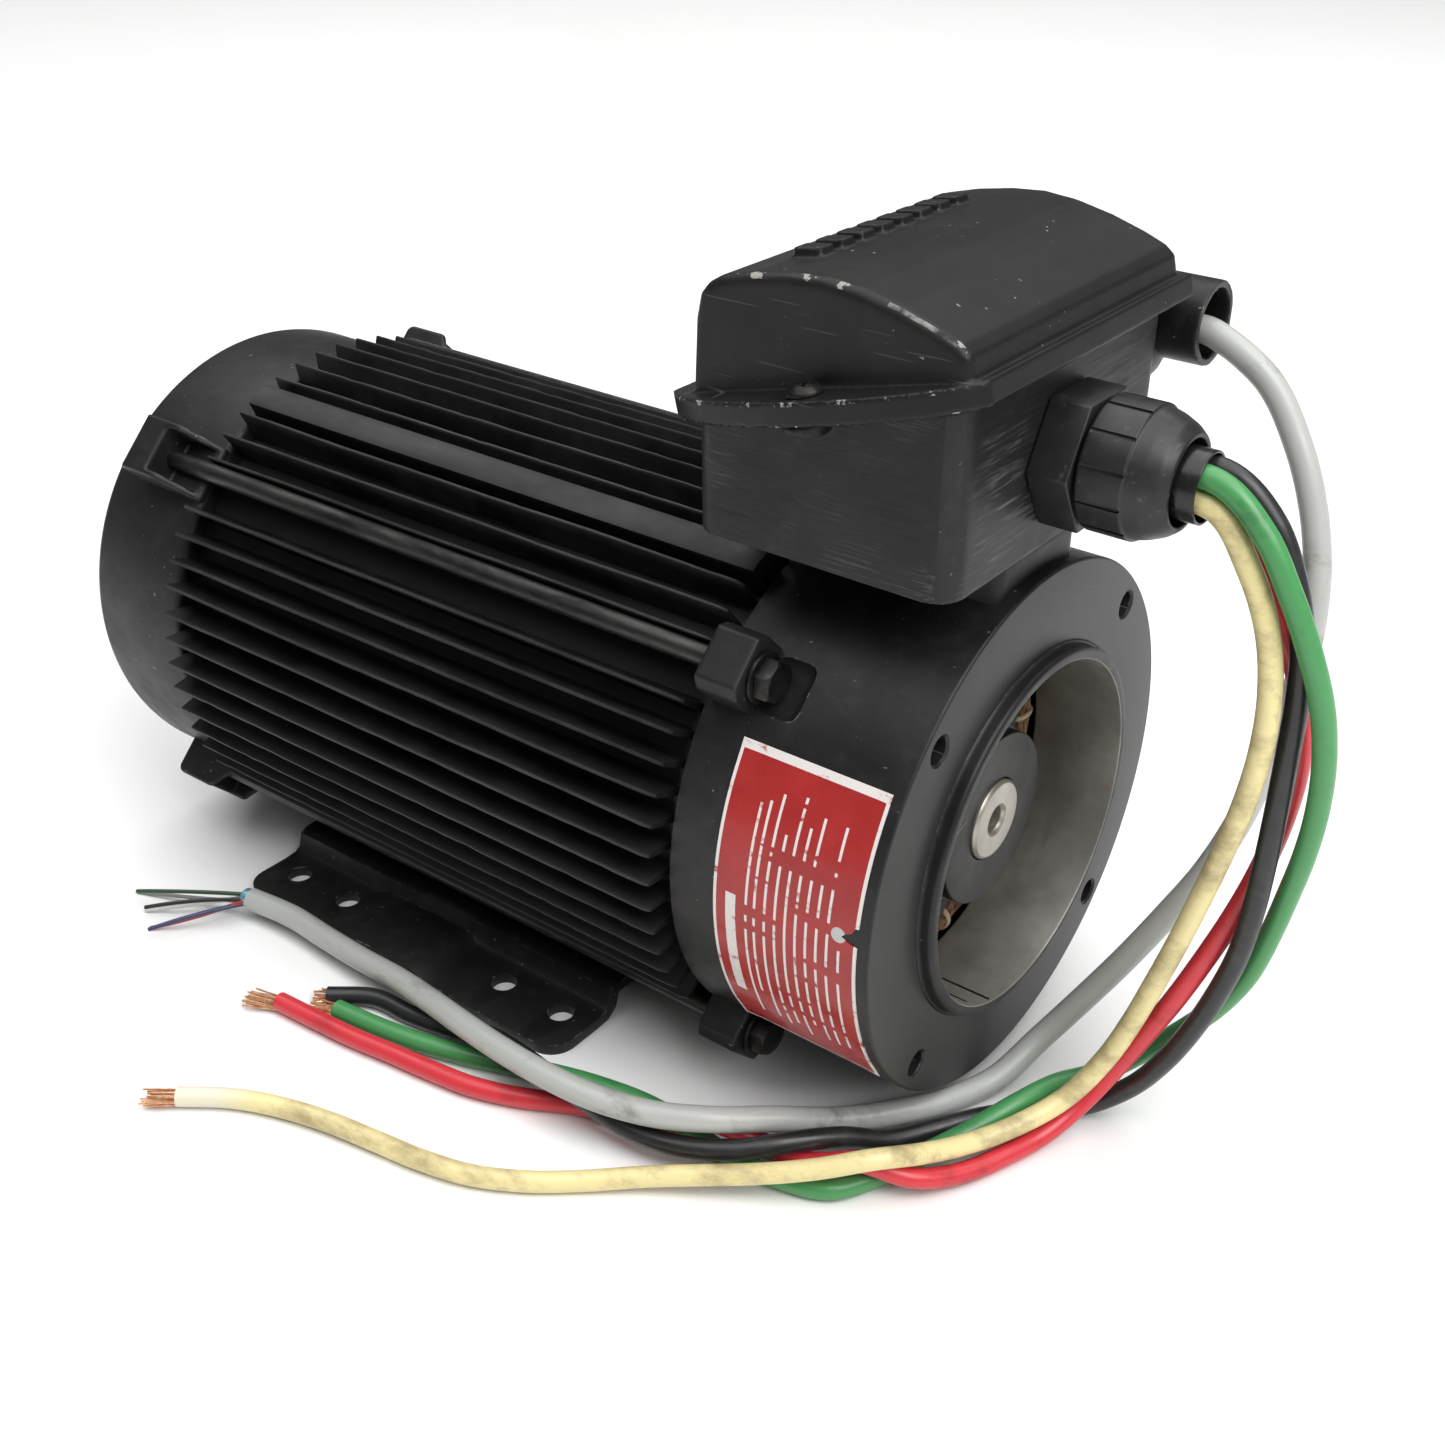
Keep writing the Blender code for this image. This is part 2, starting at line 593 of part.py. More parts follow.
def make_box_base():
    """Cast box with a sloping rim, a screw ear at each end and three wire entries."""
    plan = rounded_outline(BOX_REAR, BOX_FRONT, BOX_NEAR_Y, BOX_FAR_Y, 8.0, 5)
    obj = add("terminal_box_base", prism_mesh("terminal_box_base", plan, 60), face_paint())
    at(obj, 0, 0, BOX_BOTTOM)
    for index, y in enumerate((BOX_NEAR_Y - 4.6, BOX_FAR_Y + 4.6), 1):
        ear = add(f"box_ear_{index}", rod_mesh("box_ear", 6.0, 12, 20), None, CUTTERS)
        boolean(obj, as_cutter(at(ear, -41, y, 135.2)), "UNION")
    boolean(obj, sloped_block("base_rim_plane", JOINT_HEIGHT, True))
    boolean(obj, box_shell_cutter("base_hollow", 4.5, BOX_BOTTOM + 4.5, 160, 4.0))
    holes = [("gland_hole", 11.3, (BOX_FRONT, 0, GLAND_Z), ALONG_X),
             ("elbow_hole", 9.3, (ELBOW_ENTRY_X, BOX_FAR_Y, ELBOW_ENTRY_Z), ALONG_Y),
             ("floor_hole", 8.0, (-44, 0, BOX_BOTTOM), None)]
    holes += [(f"base_mount_hole_{i}", 2.7, (x, 0, BOX_BOTTOM), None) for i, x in enumerate(BOX_SCREW_X, 1)]
    for name, radius, point, turn in holes:
        cut = add(name, rod_mesh(name, radius, 24, 20), None, CUTTERS)
        boolean(obj, as_cutter(at(cut, *point, turn)))
    for index, y in enumerate(LID_SCREW_Y, 1):
        cut = add(f"ear_hole_{index}", rod_mesh("ear_hole", 2.1, 40, 16), None, CUTTERS)
        cut.matrix_world = joint_frame(JOINT_HEIGHT) @ Matrix.Translation((joint_x(-41) * MM, y * MM, 0))
        boolean(obj, as_cutter(cut))


def lip_outline(grow=0.0):
    """The lid's rim in the joint plane: straight front and back, bowed ends, the far one squarer."""
    rear = joint_x(BOX_REAR - 6.5) - grow
    front = joint_x(BOX_FRONT + 6.0) + grow
    ends = []
    for side, corner_y, bow, cut in ((1, 61.5, 7.0, 2.5), (-1, 55.5, 9.5, 6.0)):
        end = []
        for i in range(13):
            t = i / 12
            y = corner_y + grow + bow * math.sin(math.pi * t) ** 0.8 - cut * abs(2 * t - 1) ** 6
            end.append((front + (rear - front) * t, side * y))
        ends += end if side > 0 else end[::-1]
    return ends


def dome_profile(inset):
    """The lid's barrel in side view, x and z, from the rear foot over the crown to the front."""
    top = [(-75.6, 159.4), (-72, 161.6), (-62, 164.2), (-51, 166.1), (-41, 166.9), (-31, 166.1), (-20, 163.9),
           (-10, 161.0), (-3.5, 158.6), (-0.5, 156.3)]
    points = [(-80.2, 120), (-80.2, 133), (-79.4, 150), (-78.0, 156.5)] + top + [(0.6, 152), (1.2, 130)]
    return [(x + (-40 - x) * inset / 40, z - (inset if z > 135 else 0)) for x, z in points]


def make_lid():
    """Lid: a rim plate on the sloping joint with a barrel-arched cover above it, hollow inside."""
    outline = lip_outline()
    obj = add("box_lid", prism_mesh("box_lid", outline, 6.3), black_paint())
    obj.matrix_world = joint_frame(JOINT_HEIGHT + 1.5)
    for name, inset, wall in (("dome_outer", 0.0, 0.0), ("dome_inner", 3.6, 3.8)):
        width = BOX_FAR_Y - BOX_NEAR_Y - 2 * wall
        dome = add(name, prism_mesh(name, dome_profile(inset), width), None, CUTTERS)
        # The profile's local X is the motor's X and its local Y is up; it is extruded across.
        turn = Matrix(((1, 0, 0), (0, 0, -1), (0, 1, 0))).to_4x4()
        at(dome, 0, BOX_FAR_Y - wall, 0, turn)
        if not inset:
            bevel = dome.modifiers.new("soft", "BEVEL")
            bevel.width = 2.2 * MM
            bevel.segments = 2
            bevel.limit_method = "ANGLE"
            bevel.angle_limit = math.radians(50)
            boolean(dome, sloped_block("dome_foot", JOINT_HEIGHT + 3.0, False))
            boolean(obj, as_cutter(dome), "UNION")
        else:
            boolean(obj, as_cutter(dome))
    rib = add("lid_rib", box_mesh("lid_rib", (9, 66, 2.4), 0.8, 2), None, CUTTERS)
    boolean(obj, as_cutter(at(rib, -57.5, 0, 165.3, Euler((0, math.radians(-9), 0)).to_matrix().to_4x4())),
            "UNION")
    for index, y in enumerate(LID_SCREW_Y, 1):
        cut = add(f"lid_hole_{index}", rod_mesh("lid_hole", 2.6, 40, 16), None, CUTTERS)
        cut.matrix_world = joint_frame(JOINT_HEIGHT) @ Matrix.Translation((joint_x(-41) * MM, y * MM, 0))
        boolean(obj, as_cutter(cut))
        head = add(f"lid_screw_{index}", rod_mesh("lid_screw", 4.7, 2.8, 24, 3.6), dark_steel())
        head.matrix_world = joint_frame(JOINT_HEIGHT + 1.5) @ Matrix.Translation(
            (joint_x(-41) * MM, y * MM, (6.3 + GAP + 1.4) * MM))
        shank = add(f"lid_shank_{index}", rod_mesh("lid_shank", 1.8, 14, 16), None, CUTTERS)
        shank.matrix_world = joint_frame(JOINT_HEIGHT) @ Matrix.Translation(
            (joint_x(-41) * MM, y * MM, 2.5 * MM))
        boolean(head, as_cutter(shank), "UNION")
    gasket = add("box_gasket", prism_mesh("box_gasket", [
        (joint_x(x), y) for x, y in rounded_outline(BOX_REAR + 0.4, BOX_FRONT - 0.4, BOX_NEAR_Y + 0.4,
                                                    BOX_FAR_Y - 0.4, 7.6, 5)], 0.8), rubber())
    gasket.matrix_world = joint_frame(JOINT_HEIGHT + 0.35)
    boolean(gasket, box_shell_cutter("gasket_hollow", 4.2, 100, 170, 4.0))


def make_box_fittings():
    """Terminal strip, earth screw and the two screws that hold the box to its pedestal."""
    strip = add("terminal_block", box_mesh("terminal_block", (16, 62, 12), 1.0, 2), phenolic())
    at(strip, -67, 0, BOX_BOTTOM + 4.5 + GAP + 6)
    for index in range(5):
        slot = add(f"strip_slot_{index}", box_mesh("strip_slot", (9, 8.5, 8)), None, CUTTERS)
        boolean(strip, as_cutter(at(slot, -67, -24 + 12 * index, BOX_BOTTOM + 17)))
    earth = add("earth_screw", rod_mesh("earth_screw", 4.2, 4.0, 6), brass())
    at(earth, -24, 30, BOX_BOTTOM + 4.5 + GAP + 2.0)
    for index, x in enumerate(BOX_SCREW_X, 1):
        head = add(f"box_screw_{index}", rod_mesh("box_screw", 4.2, 3.0, 24), dark_steel())
        at(head, x, 0, BOX_BOTTOM + 4.5 + GAP + 1.5)
        shank = add(f"box_shank_{index}", rod_mesh("box_shank", 2.0, 16, 16), None, CUTTERS)
        boolean(head, as_cutter(at(shank, x, 0, BOX_BOTTOM - 2)), "UNION")


# Cable entries


def make_gland():
    """Power gland on the box's front: hexagon body with a thread, ribbed cap, and a rubber sleeve."""
    body = add("gland_body", rod_mesh("gland_body", 19.6, 11.6, 6), nylon())
    at(body, BOX_FRONT + GAP + 5.8, 0, GLAND_Z, ALONG_X @ Matrix.Rotation(math.radians(30), 4, "Z"))
    neck = axial_cut("gland_neck", 11.0, -8, 30, 0, GLAND_Z, 24)
    boolean(body, neck, "UNION")
    boolean(body, axial_cut("gland_way", 9.9, -12, 44, 0, GLAND_Z, 24))
    cap = turned("gland_cap", [(24.8, 16.2), (31.0, 14.9), (34.8, 13.2), (34.8, 11.3), (12.0, 11.3),
                               (12.0, 16.6), (24.8, 16.6)][::-1], nylon(), 24)
    cap.matrix_world = Matrix.Translation(place(0, 0, GLAND_Z)) @ ALONG_X
    for index in range(CAP_RIBS):
        degrees = 360 * index / CAP_RIBS
        y, z = around(16.4, degrees)
        rib = add(f"cap_rib_{index}", box_mesh("cap_rib", (12.2, 6.2, 1.8)), None, CUTTERS)
        at(rib, 18.4, y, GLAND_Z + z, about_axis(degrees))
        boolean(cap, as_cutter(rib), "UNION")
    sleeve = turned("gland_sleeve", [(40.2, 9.5), (-4.0, 9.5), (-4.0, 8.7), (40.2, 8.7)], rubber(), 24)
    sleeve.matrix_world = Matrix.Translation(place(0, 0, GLAND_Z)) @ ALONG_X


def make_elbow():
    """Signal entry on the box's far end: a round elbow that opens forwards, with a bush in its mouth."""
    body = add("elbow_body", rod_mesh("elbow_body", 12.0, 38, 28), black_paint())
    at(body, -13, ELBOW_Y, ELBOW_Z, ALONG_X)
    entry = (("elbow_leg", 11.0, 15.4, 65.0, "UNION"), ("elbow_thread", 8.9, 20.0, 61.0, "UNION"),
             ("elbow_way", 6.0, 36.0, 60.0, "DIFFERENCE"))
    for name, radius, length, y, operation in entry:
        leg = add(name, rod_mesh(name, radius, length, 20), None, CUTTERS)
        at(leg, ELBOW_ENTRY_X, y, ELBOW_ENTRY_Z, ALONG_Y)
        boolean(body, as_cutter(leg), operation)
    boolean(body, axial_cut("elbow_mouth", 9.8, -22, 12, ELBOW_Y, ELBOW_Z, 28))
    relief = add("lip_relief", prism_mesh("lip_relief", lip_outline(0.7), 14), None, CUTTERS)
    relief.matrix_world = joint_frame(JOINT_HEIGHT + 0.9)
    boolean(body, as_cutter(relief))
    bush = turned("elbow_bush", [(-1.4, 8.8), (-2.0, 9.4), (-12.0, 9.4), (-12.0, 7.2), (-1.4, 7.2)], rubber(), 24)
    bush.matrix_world = Matrix.Translation(place(0, ELBOW_Y, ELBOW_Z)) @ ALONG_X


def make_label():
    """A thin curved label on the near side of the front bell, with a nick in its forward edge."""
    radius = FLANGE_RADIUS + 0.3
    outer = arc(0, 0, radius + 0.35, 146, 216, 24)
    inner = arc(0, 0, radius, 216, 146, 24)
    obj = add("front_label", prism_mesh("front_label", outer + inner, 47), label_vinyl())
    at(obj, -50.5, 0, 0, END_ON)
    nick = add("label_nick", rod_mesh("label_nick", 3.2, 12, 12), None, CUTTERS)
    at(nick, -3.5, -82.5, 8.5, Euler((0, math.radians(90), math.radians(90))).to_matrix().to_4x4())
    boolean(obj, as_cutter(nick))


# Loose leads. Each route is hand set, in millimetres from the C-face on the motor axis.

ROUTES = {
    "signal_cable": [
        (-4, 74, 131.2), (6.67, 74, 131.1), (24.2, 73.4, 121.6), (36.1, 71.2, 107.1),
        (44.8, 68.5, 90.6), (50.6, 65, 72.9), (53.2, 60.7, 54.7), (53.2, 56.1, 36.3),
        (51.5, 50.6, 18.3), (48.7, 43.7, 0.9), (43.8, 36.2, -15.8), (36.6, 28.5, -31.5),
        (28.8, 20.6, -46.8), (20.2, 12.7, -61.8), (11.9, 2.6, -75.3), (6.1, -13.3, -83.4),
        (-1.4, -30.4, -84.1), (-11, -46.7, -82.5), (-21.8, -62, -79.9), (-32.5, -76.6, -74.6),
        (-44.4, -90.7, -71), (-60.8, -100, -70.9), (-79, -105.1, -70.7), (-97.8, -106.4, -70.8),
        (-116.7, -105.2, -71.7), (-135.4, -102.4, -73.4), (-153.7, -98.6, -76), (-172.3, -95.6, -78.2),
        (-191.1, -94.2, -80), (-209.9, -92.9, -80.7), (-228.8, -91.8, -80.8), (-247.7, -93.6, -80.9)],
    "lead_black": [
        (24, 3.35, 121.35), (43.4, 3.35, 121.59), (56.4, 3.3, 112.3), (64.2, 3.5, 98.2),
        (68.9, 3.6, 82.8), (70.5, 3.4, 66.8), (70.7, 3.5, 50.7), (70.9, 2.9, 34.5), (71, 1.7, 18.5),
        (70.7, 0.6, 2.4), (69, 0.1, -13.6), (65.2, -0.1, -29.3), (60.2, -0.5, -44.6),
        (53.9, -0.9, -59.4), (45.6, -1.6, -73.3), (34.3, -6.2, -83.4), (22.2, -16.4, -85.2),
        (11.3, -28.3, -85.2), (2.1, -41.5, -85.2), (-6.2, -55.3, -83.9), (-15.2, -67.6, -78.7),
        (-24.5, -80.3, -76.3), (-36.1, -91.2, -77.7), (-50.4, -98.5, -79), (-66.1, -101.8, -79.5),
        (-82.2, -101.8, -78.5), (-98.3, -100.8, -77.4), (-114.3, -98.9, -77.3), (-130.1, -97.2, -79.2),
        (-145.6, -98.3, -83.5), (-161.5, -100.1, -85.2), (-177.6, -101.4, -85.2), (-190.6, -110, -85.2)],
    "lead_green": [
        (24, -3.35, 121.35), (43.4, -3.35, 121.5), (56.9, -4.7, 112.6), (65.8, -4.3, 99.1),
        (73.1, -3.2, 84.6), (78.3, -1, 69.4), (80.6, 2, 53.6), (80.8, 4.8, 37.6), (79.4, 7, 21.6),
        (76.8, 8.4, 5.6), (73.8, 9.4, -10.4), (69.9, 9.9, -26.1), (63.2, 9.9, -40.9),
        (54.2, 9.6, -54.4), (44.3, 8.7, -67.3), (33.5, 4.2, -78.2), (24.8, -8.9, -78.4),
        (19.5, -24.2, -78.1), (12.8, -38.5, -81.7), (5.5, -52.7, -84.6), (-0.9, -67.7, -85.2),
        (-9.4, -81.3, -85.2), (-24.5, -86.8, -85.2), (-40.6, -88.4, -85.2), (-56.8, -86.7, -85.2),
        (-73, -86, -85.2), (-89.1, -88.4, -85.2), (-104.7, -92.7, -85.2), (-119.9, -98.5, -85.2),
        (-135.2, -103.9, -85.2), (-150.9, -108.1, -85.2), (-166.9, -110.8, -85.2),
        (-183.1, -112.6, -85.2)],
    "lead_cream": [
        (24, -3.35, 114.65), (43.4, -3.35, 114.5), (54.8, -4, 101.9), (62.1, -3.9, 86.9),
        (65.7, -4.3, 70.5), (66.3, -4.9, 53.8), (64.6, -5.4, 37.1), (61.4, -5.7, 20.6),
        (57.8, -6.4, 4.2), (53.9, -7.3, -12.1), (49.6, -8.4, -28.3), (45, -9.4, -44.3),
        (39.3, -11.7, -60), (32.1, -18.9, -72.9), (24.3, -32.8, -77.6), (16.3, -47.5, -78.3),
        (9.7, -62.4, -74.6), (1.3, -76.1, -71.2), (-12, -85.3, -75.6), (-26, -93.7, -79.2),
        (-40.1, -102.5, -81.2), (-54.3, -111.3, -83.4), (-67.6, -121.3, -85), (-80.9, -131.5, -85.2),
        (-95.7, -139.5, -85.2), (-111.8, -144, -85.2), (-128.4, -146.7, -85.2), (-144.9, -149.5, -85.2),
        (-161.1, -153.8, -85.2), (-176.5, -160.3, -85.2), (-190.4, -169.8, -85.2)],
    "lead_red": [
        (24, 3.35, 114.65), (43.4, 3.4, 114.5), (52.8, 5.9, 101.8), (59.7, 8.2, 87.6),
        (66.1, 10.3, 73.1), (70.4, 11.3, 57.8), (71.7, 11.2, 41.9), (70.6, 10.3, 26), (68, 8.6, 10.4),
        (64.3, 5.6, -4.8), (59.7, 1.7, -19.6), (54.5, -1.5, -34.3), (48.4, -3.1, -49), (42, -5, -63.5),
        (35.7, -11.6, -76.4), (29.9, -24.1, -83.9), (24.2, -38.9, -85.2), (17.7, -53.5, -84.7),
        (9, -66.3, -81.5), (-4.3, -73.6, -77.5), (-18.6, -77.1, -83.4), (-34, -80.1, -82.6),
        (-47.9, -85.9, -77.7), (-62.5, -91.6, -79.5), (-77.5, -94.5, -84), (-92.5, -99.7, -85.2),
        (-106.7, -107, -85.2), (-121.7, -112.4, -85.2), (-137.5, -115, -85.2), (-153.3, -116.9, -85.2),
        (-169.1, -119.1, -85.2), (-185, -120.3, -85.2), (-200.9, -121.3, -85.2)]}

LEADS = {
    "signal_cable": (CABLE_RADIUS, (0.42, 0.43, 0.44)),
    "lead_black": (WIRE_RADIUS, (0.02, 0.02, 0.02)),
    "lead_green": (WIRE_RADIUS, (0.05, 0.35, 0.12)),
    "lead_cream": (WIRE_RADIUS, (0.75, 0.7, 0.52)),
    "lead_red": (WIRE_RADIUS, (0.6, 0.05, 0.06))}


def smooth_route(points, spacing):
    """Points read every so many millimetres along a smooth curve through the route's own points."""
    ends = [points[0] * 2 - points[1], *points, points[-1] * 2 - points[-2]]
    fine = []
    for before, start, end, after in zip(ends, ends[1:], ends[2:], ends[3:]):
        for step in range(16):
            t = step / 16
            fine.append(0.5 * ((2 * start) + (end - before) * t
                               + (2 * before - 5 * start + 4 * end - after) * t ** 2
                               + (3 * start - before - 3 * end + after) * t ** 3))
    fine.append(points[-1])
    length = sum((b - a).length for a, b in zip(fine, fine[1:]))
    count = max(2, round(length / spacing))
    picked = [fine[0]]
    walked = 0.0
    for a, b in zip(fine, fine[1:]):
        piece = (b - a).length
        while len(picked) < count and walked + piece >= length * len(picked) / count:
            part = (length * len(picked) / count - walked) / piece
            picked.append(a.lerp(b, part))
        walked += piece
    picked.append(fine[-1])
    return picked


def make_leads():
    """The signal cable and the four power wires, each a round tube along its own route."""
    for name, route in ROUTES.items():
        radius, colour = LEADS[name]
        curve = bpy.data.curves.new(name, "CURVE")
        curve.dimensions = "3D"
        curve.bevel_depth = radius * MM
        curve.bevel_resolution = 2
        curve.use_fill_caps = True
        points = smooth_route([Vector(point) for point in route], 2.0 * 2 * radius)
        spline = curve.splines.new("POLY")
        spline.points.add(len(points) - 1)
        for spot, point in zip(spline.points, points):
            spot.co = (*place(*point), 1.0)
        curve.materials.append(jacket(f"jacket_{name}", colour))
        obj = bpy.data.objects.new(name, curve)
        PARTS.objects.link(obj)


clear_scene()
PARTS = new_collection("electric_motor")
CUTTERS = new_collection("cutters")
make_frame()
make_front_bell()
make_rear_bell()
make_tie_bolts()
make_base()
make_rotor()
make_stator()
make_box_base()
make_lid()
make_box_fittings()
make_gland()
make_elbow()
make_label()
make_leads()
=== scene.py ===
"""Looks of a foot-mounted servo motor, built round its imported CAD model.

Most sizes are millimetres from the C-face on the motor axis, as in the part's own source: x runs forward
from the face, y across and z up. place() turns them into the frame's metres.
"""
import math
import random
from functools import cache

import bmesh
import bpy
from mathutils import Euler, Matrix, Vector, noise


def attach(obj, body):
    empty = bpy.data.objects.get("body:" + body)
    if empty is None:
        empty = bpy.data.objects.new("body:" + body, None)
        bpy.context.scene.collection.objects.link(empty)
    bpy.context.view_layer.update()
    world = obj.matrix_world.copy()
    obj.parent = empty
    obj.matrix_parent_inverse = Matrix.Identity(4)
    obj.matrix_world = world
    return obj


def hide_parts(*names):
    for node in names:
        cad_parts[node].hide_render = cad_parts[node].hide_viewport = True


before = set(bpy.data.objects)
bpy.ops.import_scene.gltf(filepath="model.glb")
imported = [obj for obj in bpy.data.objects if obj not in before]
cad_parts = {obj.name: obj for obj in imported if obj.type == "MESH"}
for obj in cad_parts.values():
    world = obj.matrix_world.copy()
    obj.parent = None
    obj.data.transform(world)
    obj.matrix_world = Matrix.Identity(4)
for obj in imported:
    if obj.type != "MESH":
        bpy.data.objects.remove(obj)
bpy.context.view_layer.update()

MM = 0.001
SHAFT_HEIGHT = 88.9
FACE_X = 144.0
FLANGE_RADIUS = 82.55
BOLT_CIRCLE = 149.225
PILOT_RADIUS = 57.15
PILOT_HEIGHT = 4.06
BORE_RADIUS = 53.6
BELL_END = -66.3
FRAME_FRONT = -66.6
FRAME_REAR = -279.7
FIN_FRONT = -69.6
REAR_BELL_FRONT = -280.0
REAR_END = -325.0
CORE_RADIUS = 76.5
FRAME_BORE = 71.5
FIN_RADIUS = 88.3
FIN_STEP = 6
LUG_ANGLES = (45, 135, 225, 315)
TIE_GAPS = (42, 138, 222, 318)
LANDS = (66, 114, 246, 294)
TIE_RADIUS = 86.0
ROD_RADIUS = 3.175
LUG_FLAT = 95.0
FOOT_THICKNESS = 3.8
FOOT_CENTRE_X = -187.5
FOOT_HALF_Y = 86.0
FOOT_HOLE_Y = 69.85
FOOT_HOLE_X = (-63.5, -38.1, 38.1, 63.5)
BOX_REAR = -81.0
BOX_FRONT = -1.0
BOX_NEAR_Y = -53.0
BOX_FAR_Y = 57.0
BOX_BOTTOM = 92.5
JOINT_SLOPE = 0.25
JOINT_HEIGHT = 142.2
LID_SCREW_X = -41.0
LID_SCREW_Y = (-58.4, 62.4)
GLAND_Z = 118.0
ELBOW_Y = 74.0
ELBOW_Z = 134.0
ELBOW_ENTRY_X = -18.0
ELBOW_ENTRY_Z = 124.0
WIRE_RADIUS = 3.2
CABLE_RADIUS = 4.0

GASKET = 1.5
LID_RIM = 6.3
SEAT_HEIGHT = JOINT_HEIGHT + GASKET + LID_RIM
JOINT_TILT = math.atan(JOINT_SLOPE)
DICE = random.Random(56)


def turned(x=0, y=0):
    """The turning of a shape about X or Y, in degrees."""
    return Euler((math.radians(x), math.radians(y), 0)).to_matrix().to_4x4()


ALONG_X = turned(y=90)
ALONG_Y = turned(x=90)


def place(x, y, z):
    """The frame's metres for a point in millimetres from the C-face on the motor axis."""
    return Vector(((x + FACE_X) * MM, y * MM, (z + SHAFT_HEIGHT) * MM))


def around(radius, degrees):
    """The (y, z) of a point at a radius from the motor axis, at this angle up from +Y."""
    turn = math.radians(degrees)
    return radius * math.cos(turn), radius * math.sin(turn)


def about_axis(degrees):
    """A frame whose local Z points out from the motor axis at this angle up from +Y, local X forward."""
    out = Vector((0, *around(1, degrees)))
    forward = Vector((1, 0, 0))
    return Matrix((forward, out.cross(forward), out)).transposed().to_4x4()


def smoothstep(value):
    value = min(1.0, max(0.0, value))
    return value * value * (3 - 2 * value)


def added(name, data):
    """A new object in the scene."""
    obj = bpy.data.objects.new(name, data)
    bpy.context.scene.collection.objects.link(obj)
    return obj


# Camera


def make_camera():
    """A camera ahead of the face, on its near side and above it, with a slight roll."""
    roll = math.radians(0.945)
    look = Vector((-0.4977, 0.691, -0.5242)).normalized()
    right = look.cross(Vector((0, 0, 1))).normalized()
    up = right.cross(look)
    rolled_right = math.cos(roll) * right + math.sin(roll) * up
    rolled_up = math.cos(roll) * up - math.sin(roll) * right
    camera = added("camera", bpy.data.cameras.new("camera"))
    turn = Matrix((rolled_right, rolled_up, -look)).transposed().to_4x4()
    camera.matrix_world = Matrix.Translation((0.3305, -0.3849, 0.3733)) @ turn
    camera.data.sensor_width = 36
    camera.data.lens = 43.21
    camera.data.shift_x = -0.0350
    camera.data.shift_y = 0.0214
    camera.data.clip_start = 0.01
    bpy.context.scene.camera = camera


make_camera()


# Materials. A small kit of nodes, then one cached function for each finish.


